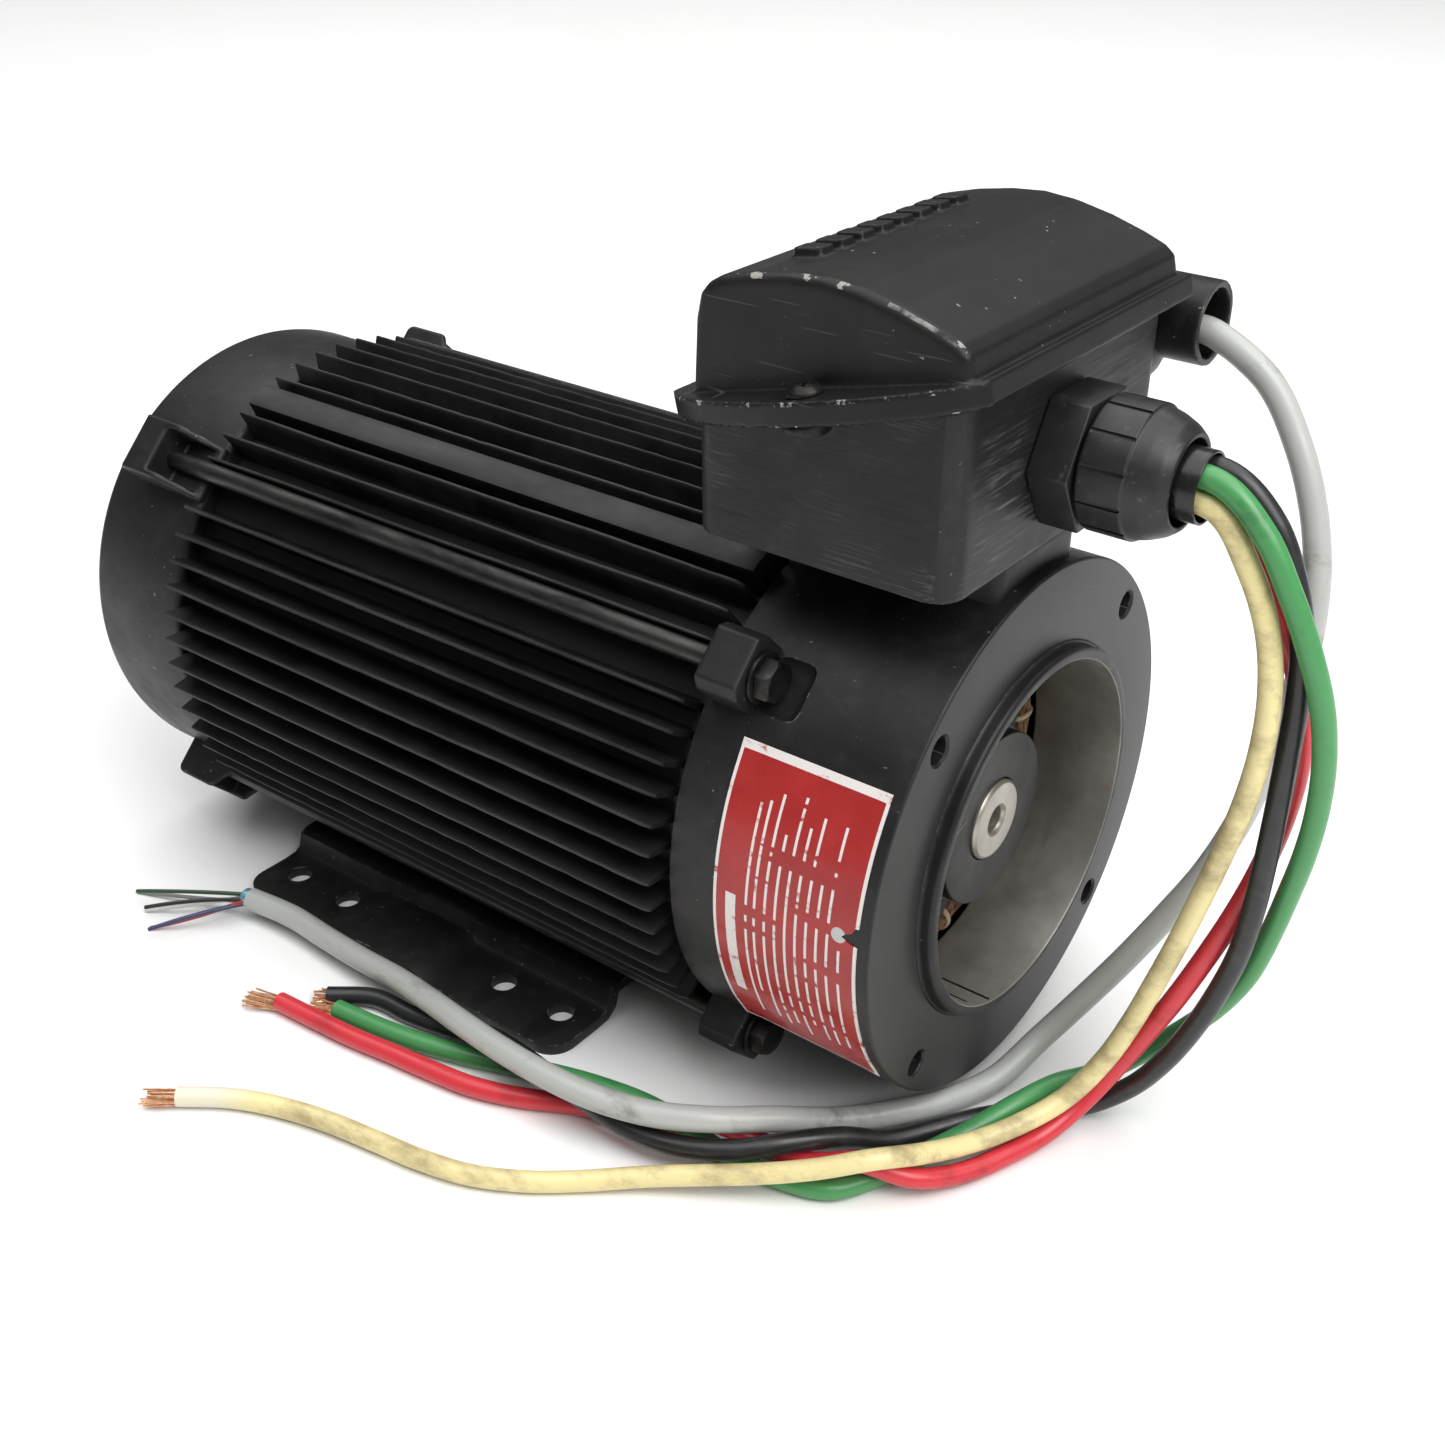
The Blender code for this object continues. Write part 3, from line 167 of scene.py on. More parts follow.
class Finish:
    """A material under construction: its node tree, its shader and object-space coordinates."""

    def __init__(self, name, metallic=0.0, specular=0.5):
        self.material = bpy.data.materials.new(name)
        self.material.use_nodes = True
        self.tree = self.material.node_tree
        self.shader = self.tree.nodes["Principled BSDF"]
        self.shader.inputs["Metallic"].default_value = metallic
        self.shader.inputs["Specular IOR Level"].default_value = specular
        self.place = self.tree.nodes.new("ShaderNodeTexCoord").outputs["Object"]

    def node(self, kind, inputs=(), **settings):
        made = self.tree.nodes.new(kind)
        for key, value in settings.items():
            setattr(made, key, value)
        for key, value in dict(inputs).items():
            if isinstance(value, bpy.types.NodeSocket):
                self.tree.links.new(value, made.inputs[key])
            else:
                made.inputs[key].default_value = value
        return made

    def split(self):
        """The x, y and z of the object-space point, in metres."""
        return self.node("ShaderNodeSeparateXYZ", {0: self.place}).outputs

    def stretched(self, scale=(1, 1, 1), turn=(0, 0, 0)):
        inputs = {"Vector": self.place, "Scale": scale, "Rotation": turn}
        return self.node("ShaderNodeMapping", inputs).outputs[0]

    def noise(self, scale, detail=4.0, rough=0.55, where=None):
        inputs = {"Vector": where or self.place, "Scale": scale, "Detail": detail, "Roughness": rough}
        return self.node("ShaderNodeTexNoise", inputs).outputs["Fac"]

    def streaks(self, scale, detail=3, rough=0.6, turn=(0, 0, 0)):
        """Noise stretched by a different scale along each axis."""
        return self.noise(1.0, detail, rough, self.stretched(scale, turn))

    def ramp(self, value, low, high, out_low=0.0, out_high=1.0):
        inputs = {"Value": value, "From Min": low, "From Max": high, "To Min": out_low, "To Max": out_high}
        return self.node("ShaderNodeMapRange", inputs).outputs[0]

    def math(self, operation, a, b=0.0):
        return self.node("ShaderNodeMath", {0: a, 1: b}, operation=operation).outputs[0]

    def all_of(self, first, *others):
        for other in others:
            first = self.math("MULTIPLY", first, other)
        return first

    def any_of(self, first, *others):
        for other in others:
            first = self.math("MAXIMUM", first, other)
        return first

    def band(self, value, middle, half):
        """1 where the value is within half of the middle."""
        gap = self.math("ABSOLUTE", self.math("SUBTRACT", value, middle))
        return self.math("LESS_THAN", gap, half)

    def axis_radius(self):
        """The distance of the point from the motor axis, in metres."""
        split = self.split()
        height = self.math("SUBTRACT", split[2], SHAFT_HEIGHT * MM)
        square = self.math("ADD", self.math("POWER", split[1], 2.0), self.math("POWER", height, 2.0))
        return self.math("SQRT", square)

    def mix(self, share, a, b):
        """Colour a where share is 0 and b where it is 1."""
        made = self.node("ShaderNodeMix", data_type="RGBA")
        for socket, value in ((made.inputs[0], share), (made.inputs[6], a), (made.inputs[7], b)):
            if isinstance(value, bpy.types.NodeSocket):
                self.tree.links.new(value, socket)
            elif isinstance(value, (int, float)):
                socket.default_value = value
            else:
                socket.default_value = (*value, 1.0)
        return made.outputs[2]

    def patches(self, noise, a, b, low=0.35, high=0.65):
        """Colour a giving way to b where the noise is high."""
        return self.mix(self.ramp(noise, low, high), a, b)

    def edges(self, width, low=0.02, high=0.2):
        """Near 1 on edges, from how far a rounded normal turns from the true one."""
        rounded = self.node("ShaderNodeBevel", {"Radius": width * MM}, samples=4).outputs[0]
        true = self.node("ShaderNodeNewGeometry").outputs["Normal"]
        dot = self.node("ShaderNodeVectorMath", {0: rounded, 1: true}, operation="DOT_PRODUCT")
        return self.ramp(self.math("SUBTRACT", 1.0, dot.outputs["Value"]), low, high)

    def finished(self, colour, rough, *bumps, coat=0.0):
        """The material, given its colour, (noise, low, high) roughness and (height, strength, mm) bumps."""
        noise, low, high = rough
        links = {"Base Color": colour, "Roughness": self.ramp(noise, 0.3, 0.7, low, high)}
        for height, strength, depth in bumps:
            inputs = {"Height": height, "Strength": strength, "Distance": depth * MM}
            if "Normal" in links:
                inputs["Normal"] = links["Normal"]
            links["Normal"] = self.node("ShaderNodeBump", inputs).outputs[0]
        for name, output in links.items():
            self.tree.links.new(output, self.shader.inputs[name])
        if coat:
            self.shader.inputs["Coat Weight"].default_value = coat
        return self.material


def tinted(colour, factor):
    return tuple(c * factor for c in colour)


@cache
def cast_paint(name, colour, rough, grain, wear):
    """Satin paint on a casting: fine orange peel, cloudy handling marks, dust and rubbed edges."""
    f = Finish(name, 0.0, 0.3)
    base = f.patches(f.noise(38, 5, 0.6), tinted(colour, 0.8), tinted(colour, 1.22))
    base = f.mix(f.ramp(f.noise(150, 6, 0.7), 0.52, 0.78, 0.0, 0.15), base, (0.09, 0.088, 0.084))
    chips = f.all_of(f.edges(0.9, 0.05, 0.25), f.ramp(f.noise(260, 4, 0.65), 0.53, 0.6), wear)
    base = f.mix(chips, base, (0.36, 0.35, 0.33))
    speck = f.all_of(f.ramp(f.noise(520, 2, 0.5), 0.735, 0.75), 0.5 * wear)
    base = f.mix(speck, base, (0.3, 0.29, 0.27))
    return f.finished(base, (f.noise(70, 5, 0.65), rough - 0.07, rough + 0.1),
                      (f.noise(900, 3, 0.6), 0.25, grain), (f.noise(2600, 2, 0.5), 0.2, grain * 0.5))


@cache
def lid_paint():
    """The lid's satin paint, chipped to bare metal along its near arch and on the edges of its rim."""
    f = Finish("lid_paint", 0.0, 0.24)
    x, y, z = (f.math("SUBTRACT", f.math("DIVIDE", value, MM), zero)
               for value, zero in zip(f.split(), (FACE_X, 0.0, SHAFT_HEIGHT)))
    joint = f.math("MULTIPLY", x, JOINT_SLOPE)
    rise = f.math("SUBTRACT", f.math("SUBTRACT", z, JOINT_HEIGHT), joint)
    near = f.math("LESS_THAN", y, BOX_NEAR_Y + 1)
    arch = f.all_of(f.band(y, -51.5, 1.0), f.math("GREATER_THAN", z, 149.0),
                    f.ramp(f.noise(150, 5, 0.65), 0.6, 0.63))
    clean = f.all_of(f.band(y, -51.6, 0.6), f.band(x, -13, 10), f.math("GREATER_THAN", z, 146.0),
                     f.ramp(f.noise(120, 4, 0.6), 0.46, 0.6), 0.8)
    upper = f.all_of(f.band(rise, 7.6, 0.55), near, f.ramp(f.noise(260, 5, 0.7), 0.57, 0.6))
    lower = f.all_of(f.band(rise, 1.8, 0.5), near, f.ramp(f.noise(240, 5, 0.7), 0.6, 0.63))
    fleck = f.all_of(f.ramp(f.noise(620, 2, 0.5), 0.72, 0.74), f.ramp(f.noise(40, 3), 0.5, 0.6))
    chips = f.any_of(arch, clean, upper, lower, fleck)
    hair = f.streaks((30, 30, 900), 1, 0.5, (0, math.radians(38), 0))
    scratch = f.all_of(f.ramp(hair, 0.72, 0.73), f.math("LESS_THAN", y, -52.4), 0.3)
    base = f.patches(f.noise(30, 5, 0.6), (0.007, 0.007, 0.0073), (0.014, 0.014, 0.0144), 0.3, 0.7)
    base = f.mix(scratch, base, (0.12, 0.12, 0.12))
    base = f.mix(f.all_of(chips, 0.85), base, (0.33, 0.32, 0.3))
    return f.finished(base, (f.noise(70, 5, 0.65), 0.36, 0.5),
                      (f.noise(900, 3, 0.6), 0.25, 0.12), (f.noise(2600, 2), 0.2, 0.06))


@cache
def brushed_paint(name, colour, stretch, tilt, rough):
    """Thin paint brushed in one direction, with brighter streaks along the brushing painted in as highlight.
    """
    f = Finish(name, 0.0, 0.26)
    streak = f.streaks(stretch, turn=(math.radians(tilt), 0, 0))
    patch = f.noise(30, 4, 0.6)
    # painted highlight: pale grey streaks where the brushing and patch noise are both high
    streak_highlight = f.all_of(f.ramp(streak, 0.5, 0.68), f.ramp(patch, 0.42, 0.62), 0.55)
    base = f.patches(patch, tinted(colour, 0.75), tinted(colour, 1.3), 0.3, 0.7)
    base = f.mix(streak_highlight, base, (0.15, 0.15, 0.15))
    return f.finished(base, (streak, rough - 0.08, rough + 0.14),
                      (streak, 0.35, 0.12), (f.noise(1100, 3, 0.6), 0.15, 0.1))


@cache
def fin_paint():
    """Black anodised frame, with a painted highlight: the fins' outer edges painted a dull grey."""
    f = Finish("fin_black", 0.0, 0.25)
    # painted highlight: the outer 0.7 mm of every fin painted lighter grey, in soft noisy patches
    tip_highlight = f.all_of(f.ramp(f.axis_radius(), (FIN_RADIUS - 0.7) * MM, FIN_RADIUS * MM),
                      f.ramp(f.noise(60, 5, 0.7, f.stretched((0.35, 1, 1))), 0.35, 0.7, 0.25, 1.0))
    base = f.patches(f.noise(45, 4), (0.005, 0.005, 0.0055), (0.01, 0.01, 0.0105))
    base = f.mix(tip_highlight, base, (0.04, 0.04, 0.041))
    return f.finished(base, (f.noise(90, 5), 0.4, 0.56),
                      (f.streaks((40, 1500, 1500)), 0.25, 0.06), (f.noise(1500, 2), 0.15, 0.05))


@cache
def machined_paint():
    """The flat C-face: thin grey-black paint over a faced surface, with faint rings and smudges."""
    f = Finish("machined_grey", 0.0, 0.3)
    outward = f.node("ShaderNodeCombineXYZ", {0: f.all_of(f.axis_radius(), 3000)}).outputs[0]
    rings = f.noise(1.0, 2, 0.5, outward)
    base = f.patches(f.noise(26, 5, 0.65), (0.019, 0.019, 0.0197), (0.028, 0.028, 0.0284), 0.3, 0.7)
    base = f.mix(f.ramp(f.noise(55, 3, 0.5), 0.66, 0.74, 0.0, 0.5), base, (0.016, 0.016, 0.016))
    return f.finished(base, (rings, 0.33, 0.47), (rings, 0.2, 0.02), (f.noise(1800, 2), 0.08, 0.03))


@cache
def turned_metal(name, colour, rough, contrast):
    """Bare metal turned on a lathe: fine rings round the motor axis, stains and a soft sheen."""
    f = Finish(name, 0.85, 0.5)
    rings = f.streaks((5200, 40, 40))
    low, high = tinted(colour, 1 - contrast), tinted(colour, 1 + contrast)
    base = f.patches(f.noise(60, 5, 0.6), low, high, 0.3, 0.7)
    return f.finished(base, (rings, rough - 0.06, rough + 0.08),
                      (rings, 0.12, 0.02), (f.noise(1400, 2), 0.06, 0.02))


@cache
def dark_steel():
    """Oiled black steel of bolts and screws, brighter where tools have touched."""
    f = Finish("dark_steel", 0.85, 0.5)
    chips = f.all_of(f.edges(0.5, 0.04, 0.25), f.ramp(f.noise(700, 3), 0.45, 0.6), 0.7)
    base = f.patches(f.noise(120, 5, 0.65), (0.014, 0.014, 0.0145), (0.045, 0.043, 0.041))
    base = f.mix(chips, base, (0.22, 0.21, 0.2))
    return f.finished(base, (f.noise(300, 4), 0.34, 0.56), (f.noise(1500, 3), 0.2, 0.05))


@cache
def rod_steel():
    """A tie rod: black worn to grey in long patches."""
    f = Finish("rod_steel", 0.7, 0.5)
    patch = f.streaks((25, 160, 160), 5, 0.65)
    base = f.patches(patch, (0.01, 0.01, 0.01), (0.06, 0.059, 0.057), 0.38, 0.62)
    return f.finished(base, (patch, 0.5, 0.36), (f.noise(1200, 3), 0.25, 0.05))


@cache
def moulded_plastic(name, colour, rough):
    """Moulded black nylon or rubber: faint mottling, scuffs and a fine moulded grain."""
    f = Finish(name, 0.0, 0.45)
    base = f.patches(f.noise(90, 4), tinted(colour, 0.85), tinted(colour, 1.3))
    scuff = f.all_of(f.ramp(f.streaks((500, 90, 500), 4), 0.62, 0.72), 0.35)
    base = f.mix(scuff, base, (0.11, 0.11, 0.108))
    return f.finished(base, (f.noise(200, 4), rough - 0.06, rough + 0.1), (f.noise(1600, 3), 0.18, 0.05))


@cache
def copper():
    """Bright stranded copper with a little tarnish."""
    f = Finish("copper_strand", 0.85, 0.5)
    return f.finished(f.patches(f.noise(500, 3), (0.74, 0.38, 0.2), (0.98, 0.68, 0.46)),
                      (f.noise(900, 2), 0.24, 0.42))


@cache
def jacket(name, clean, soiled, soil, rough, faded=None, fade_x=0):
    """A lead's insulation: slight ripple, soiling in patches, and a paler stretch behind fade_x."""
    f = Finish(name, 0.0, 0.5)
    patch = f.streaks((34, 70, 70), 6, 0.7)
    base = f.mix(f.ramp(patch, 0.62 - 0.25 * soil, 0.78 - 0.2 * soil, 0.0, 0.85), clean, soiled)
    if faded:
        behind = f.ramp(f.split()[0], (FACE_X + fade_x) * MM, (FACE_X + fade_x - 12) * MM)
        base = f.mix(behind, base, faded)
    return f.finished(base, (f.noise(160, 4), rough - 0.06, rough + 0.12),
                      (f.noise(110, 3), 0.25, 0.25), (f.noise(1500, 2), 0.1, 0.05), coat=0.08)


@cache
def lacquer():
    """Varnished copper end turns, amber brown with darker pools."""
    f = Finish("winding_lacquer", 0.35, 0.5)
    return f.finished(f.patches(f.noise(300, 4), (0.07, 0.035, 0.015), (0.3, 0.17, 0.08)),
                      (f.noise(400, 3), 0.22, 0.4), coat=0.4)


@cache
def lacing():
    """Pale woven cord that ties the end turns."""
    f = Finish("lacing_cord", 0.0, 0.3)
    weave = f.streaks((2600, 2600, 900), 2, 0.5)
    base = f.mix(weave, (0.36, 0.27, 0.17), (0.66, 0.55, 0.42))
    return f.finished(base, (weave, 0.6, 0.85), (weave, 0.5, 0.12))


@cache
def laminated():
    """Stacked sheet steel: fine dark lines square to the motor axis."""
    f = Finish("lamination_stack", 0.8, 0.5)
    lines = f.streaks((4200, 6, 6), 1, 0.5)
    return f.finished(f.patches(lines, (0.1, 0.1, 0.105), (0.3, 0.3, 0.31), 0.4, 0.6), (lines, 0.4, 0.6),
                      (lines, 0.3, 0.08))


@cache
def foil():
    """The signal cable's crumpled blue foil."""
    f = Finish("blue_foil", 0.6, 0.5)
    crease = f.noise(420, 4, 0.6)
    base = f.mix(crease, (0.1, 0.3, 0.44), (0.3, 0.55, 0.68))
    return f.finished(base, (crease, 0.2, 0.45), (crease, 0.6, 0.3))


# Middle x, half width in mm, middle angle and half height in degrees of each plain bar
LABEL_BARS = ((-44.6, 1.7, -9, 13), (-39.4, 0.42, -2, 26), (-36.6, 0.42, 3, 22), (-33.2, 0.42, 0, 27),
              (-29.8, 0.42, -4, 24), (-26.4, 0.42, 1, 27), (-23.0, 0.42, -3, 26), (-19.6, 0.42, 2, 25),
              (-16.2, 0.42, -6, 21), (-12.8, 0.42, 0, 27), (-9.0, 0.42, -12, 14))


@cache
def label_print():
    """Red vinyl with a white border and plain white bars, scuffed, with a silver tear at the nick."""
    f = Finish("label_print", 0.0, 0.25)
    split = f.split()
    height = f.math("SUBTRACT", split[2], SHAFT_HEIGHT * MM)
    turn = f.math("ARCSINE", f.math("DIVIDE", height, FLANGE_RADIUS * MM))
    degrees = f.math("MULTIPLY", turn, math.degrees(1))
    along = f.math("SUBTRACT", f.math("DIVIDE", split[0], MM), FACE_X)
    marks = f.math("SUBTRACT", 1.0, f.all_of(f.band(along, -27, 22.5), f.band(degrees, -1.5, 33.9)))
    breaks = f.ramp(f.streaks((30, 260, 260), 0, 0.5), 0.36, 0.38)
    for middle, half_width, angle, half_height in LABEL_BARS:
        bar = f.all_of(f.band(along, middle, half_width), f.band(degrees, angle, half_height))
        marks = f.any_of(marks, f.all_of(bar, breaks) if half_width < 1 else bar)
    worn = f.ramp(f.noise(240, 4, 0.6), 0.3, 0.42, 0.0, 1.0)
    field = f.patches(f.noise(60, 4), (0.3, 0.018, 0.018), (0.4, 0.03, 0.028), 0.3, 0.7)
    base = f.mix(f.all_of(marks, worn), field, (0.72, 0.68, 0.66))
    spots = {0: f.place, 1: tuple(place(-9.4, -82.2, 7.6))}
    apart = f.node("ShaderNodeVectorMath", spots, operation="DISTANCE").outputs["Value"]
    base = f.mix(f.math("LESS_THAN", apart, 2.3 * MM), base, (0.5, 0.5, 0.5))
    return f.finished(base, (f.noise(130, 4), 0.24, 0.42), (f.noise(70, 3), 0.2, 0.2), coat=0.25)


# Finishes that several pieces share

BLACK = (0.011, 0.011, 0.0115)
CAST_BLACK = cast_paint("cast_black", BLACK, 0.42, 0.12, 0.8)
BARE_WALL = turned_metal("bare_wall", (0.34, 0.33, 0.3), 0.5, 0.22)
BRIGHT = turned_metal("bright_steel_turned", (0.4, 0.38, 0.335), 0.38, 0.2)
NYLON = moulded_plastic("nylon_black", (0.012, 0.012, 0.0125), 0.42)
RUBBER = moulded_plastic("rubber_black", (0.008, 0.008, 0.0085), 0.22)


# Geometry kit. Shapes are made in millimetres and baked into the frame's metres, so each piece's object
# sits at the origin and its materials read one shared set of coordinates.

HOME = Matrix.Translation(place(0, 0, 0))


def at(x, y, z, turn=None):
    """The placing of a shape at a point of the motor, turned by a matrix if one is given."""
    return Matrix.Translation(place(x, y, z)) @ (turn or Matrix.Identity(4))


def joint_frame(height):
    """A placing on the box's sloping joint: local X rises towards the front, Z is square to the joint."""
    return at(BOX_FRONT, 0, height, Euler((0, -JOINT_TILT, 0)).to_matrix().to_4x4())


def joint_x(x):
    """The distance along the sloping joint of a point at x, from the box's front."""
    return (x - BOX_FRONT) / math.cos(JOINT_TILT)


def shape(bm, placing):
    """An unfinished piece: the bmesh, in metres, moved to its place."""
    bmesh.ops.recalc_face_normals(bm, faces=bm.faces)
    bmesh.ops.transform(bm, matrix=placing, verts=bm.verts)
    mesh = bpy.data.meshes.new("shape")
    bm.to_mesh(mesh)
    bm.free()
    return added("shape", mesh)


def settle(obj):
    """Turns the piece's modifiers into its mesh."""
    bpy.context.view_layer.update()
    graph = bpy.context.evaluated_depsgraph_get()
    mesh = bpy.data.meshes.new_from_object(obj.evaluated_get(graph), depsgraph=graph)
    obj.modifiers.clear()
    old = obj.data
    obj.data = mesh
    bpy.data.meshes.remove(old)
    return obj


def combine(obj, others, operation="DIFFERENCE"):
    """Cuts the other shapes from the piece, or adds them to it, and removes them."""
    for other in others:
        step = obj.modifiers.new("step", "BOOLEAN")
        step.operation = operation
        step.solver = "EXACT"
        step.object = other
    settle(obj)
    for other in others:
        bpy.data.objects.remove(other)
    return obj


def soften(obj, width, segments=3, angle=40):
    """Rounds every edge sharper than the angle."""
    bevel = obj.modifiers.new("soft", "BEVEL")
    bevel.width = width * MM
    bevel.segments = segments
    bevel.limit_method = "ANGLE"
    bevel.angle_limit = math.radians(angle)
    return settle(obj)


def cast(obj, voxel, passes):
    """Gives the piece a casting's soft edges and fillets."""
    remesh = obj.modifiers.new("skin", "REMESH")
    remesh.mode = "VOXEL"
    remesh.voxel_size = voxel * MM
    remesh.use_smooth_shade = True
    smooth = obj.modifiers.new("smooth", "SMOOTH")
    smooth.factor = 0.6
    smooth.iterations = passes
    return settle(obj)


def block(size, placing, corner=0.0, segments=3):
    bm = bmesh.new()
    bmesh.ops.create_cube(bm, size=1.0)
    bmesh.ops.scale(bm, vec=Vector(size) * MM, verts=bm.verts)
    obj = shape(bm, placing)
    return soften(obj, corner, segments) if corner else obj


def rod(radius, length, placing, sides=64, top=None):
    """A round bar, or a cone, about its middle along local Z."""
    bm = bmesh.new()
    bmesh.ops.create_cone(bm, cap_ends=True, segments=sides, radius1=radius * MM,
                          radius2=(radius if top is None else top) * MM, depth=length * MM)
    return shape(bm, placing)


def prism(outline, depth, placing):
    """An outline in local XY, extruded from z = 0 to depth."""
    bm = bmesh.new()
    face = bm.faces.new([bm.verts.new((x * MM, y * MM, 0.0)) for x, y in outline])
    moved = bmesh.ops.extrude_face_region(bm, geom=[face])["geom"]
    verts = [item for item in moved if isinstance(item, bmesh.types.BMVert)]
    bmesh.ops.translate(bm, vec=(0, 0, depth * MM), verts=verts)
    return shape(bm, placing)


def arc(cx, cy, radius, start, end, steps):
    points = [around(radius, start + (end - start) * i / steps) for i in range(steps + 1)]
    return [(cx + x, cy + y) for x, y in points]


def rounded_outline(x0, x1, y0, y1, radius, steps=10):
    return (arc(x1 - radius, y1 - radius, radius, 0, 90, steps)
            + arc(x0 + radius, y1 - radius, radius, 90, 180, steps)
            + arc(x0 + radius, y0 + radius, radius, 180, 270, steps)
            + arc(x1 - radius, y0 + radius, radius, 270, 360, steps))


def eased(profile, corner, closed):
    """The profile with each of its corners turned into a short curve."""
    count = len(profile)
    points = [Vector(p) for p in profile]
    made = []
    for i, here in enumerate(points):
        if not closed and i in (0, count - 1):
            made.append(here)
            continue
        back = points[i - 1] - here
        ahead = points[(i + 1) % count] - here
        reach = min(corner, 0.42 * back.length, 0.42 * ahead.length)
        start = here + back.normalized() * reach
        end = here + ahead.normalized() * reach
        for t in (0.0, 0.33, 0.67, 1.0):
            made.append(start.lerp(here, t).lerp(here.lerp(end, t), t))
    return made


def loft(bm, rows, closed):
    """Faces between neighbouring rows of vertices, each row a line or a closed ring."""
    for near, far in zip(rows, rows[1:]):
        for i in range(len(near) - (not closed)):
            k = (i + 1) % len(near)
            bm.faces.new((near[i], near[k], far[k], far[i]))


def lathe(profile, placing=HOME, steps=160, corner=0.4, closed=True):
    """A shape turned about local X from (x, radius) points; an open profile starts and ends on the axis."""
    line = eased(profile, corner, closed)
    bm = bmesh.new()
    rings = []
    for i in range(steps):
        turn = math.tau * i / steps
        rings.append([bm.verts.new((x * MM, r * math.cos(turn) * MM, r * math.sin(turn) * MM))
                      for x, r in line])
    loft(bm, rings + rings[:1], closed)
    bmesh.ops.remove_doubles(bm, verts=bm.verts, dist=1e-7)
    return shape(bm, placing)


def tubes(lines, radius, sides=8):
    """Round closed tubes along several lists of motor points, as one piece."""
    bm = bmesh.new()
    width = radius * MM
    turns = [math.tau * k / sides for k in range(sides)]
    for line in lines:
        points = [place(*point) for point in line]
        side = None
        rings = []
        for i, point in enumerate(points):
            ahead = (points[min(i + 1, len(points) - 1)] - points[max(i - 1, 0)]).normalized()
            side = (side - ahead * side.dot(ahead) if side else ahead.orthogonal()).normalized()
            up = ahead.cross(side)
            rings.append([bm.verts.new(point + (side * math.cos(turn) + up * math.sin(turn)) * width)
                          for turn in turns])
        loft(bm, rings, True)
        bm.faces.new(rings[0][::-1])
        bm.faces.new(rings[-1])
    return shape(bm, Matrix.Identity(4))


def done(obj, name, *nodes, body="stator", slot="black_paint", materials=CAST_BLACK, choose=None):
    """Names the piece, finishes it, makes it ride on a body and hides the CAD nodes it stands for."""
    mesh = obj.data
    obj.name = name
    mesh.name = name
    mesh.materials.clear()
    materials = materials if isinstance(materials, tuple) else (materials,)
    for material in materials:
        mesh.materials.append(material)
    for face in mesh.polygons:
        face.material_index = choose(face) if choose else 0
    mesh.shade_smooth()
    mesh.set_sharp_from_angle(angle=math.radians(38))
    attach(obj, body)
    if nodes:
        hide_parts(*nodes)
    return obj


def local(point):
    """A mesh point as (x, y, z) millimetres from the C-face on the motor axis."""
    return point.x / MM - FACE_X, point.y / MM, point.z / MM - SHAFT_HEIGHT
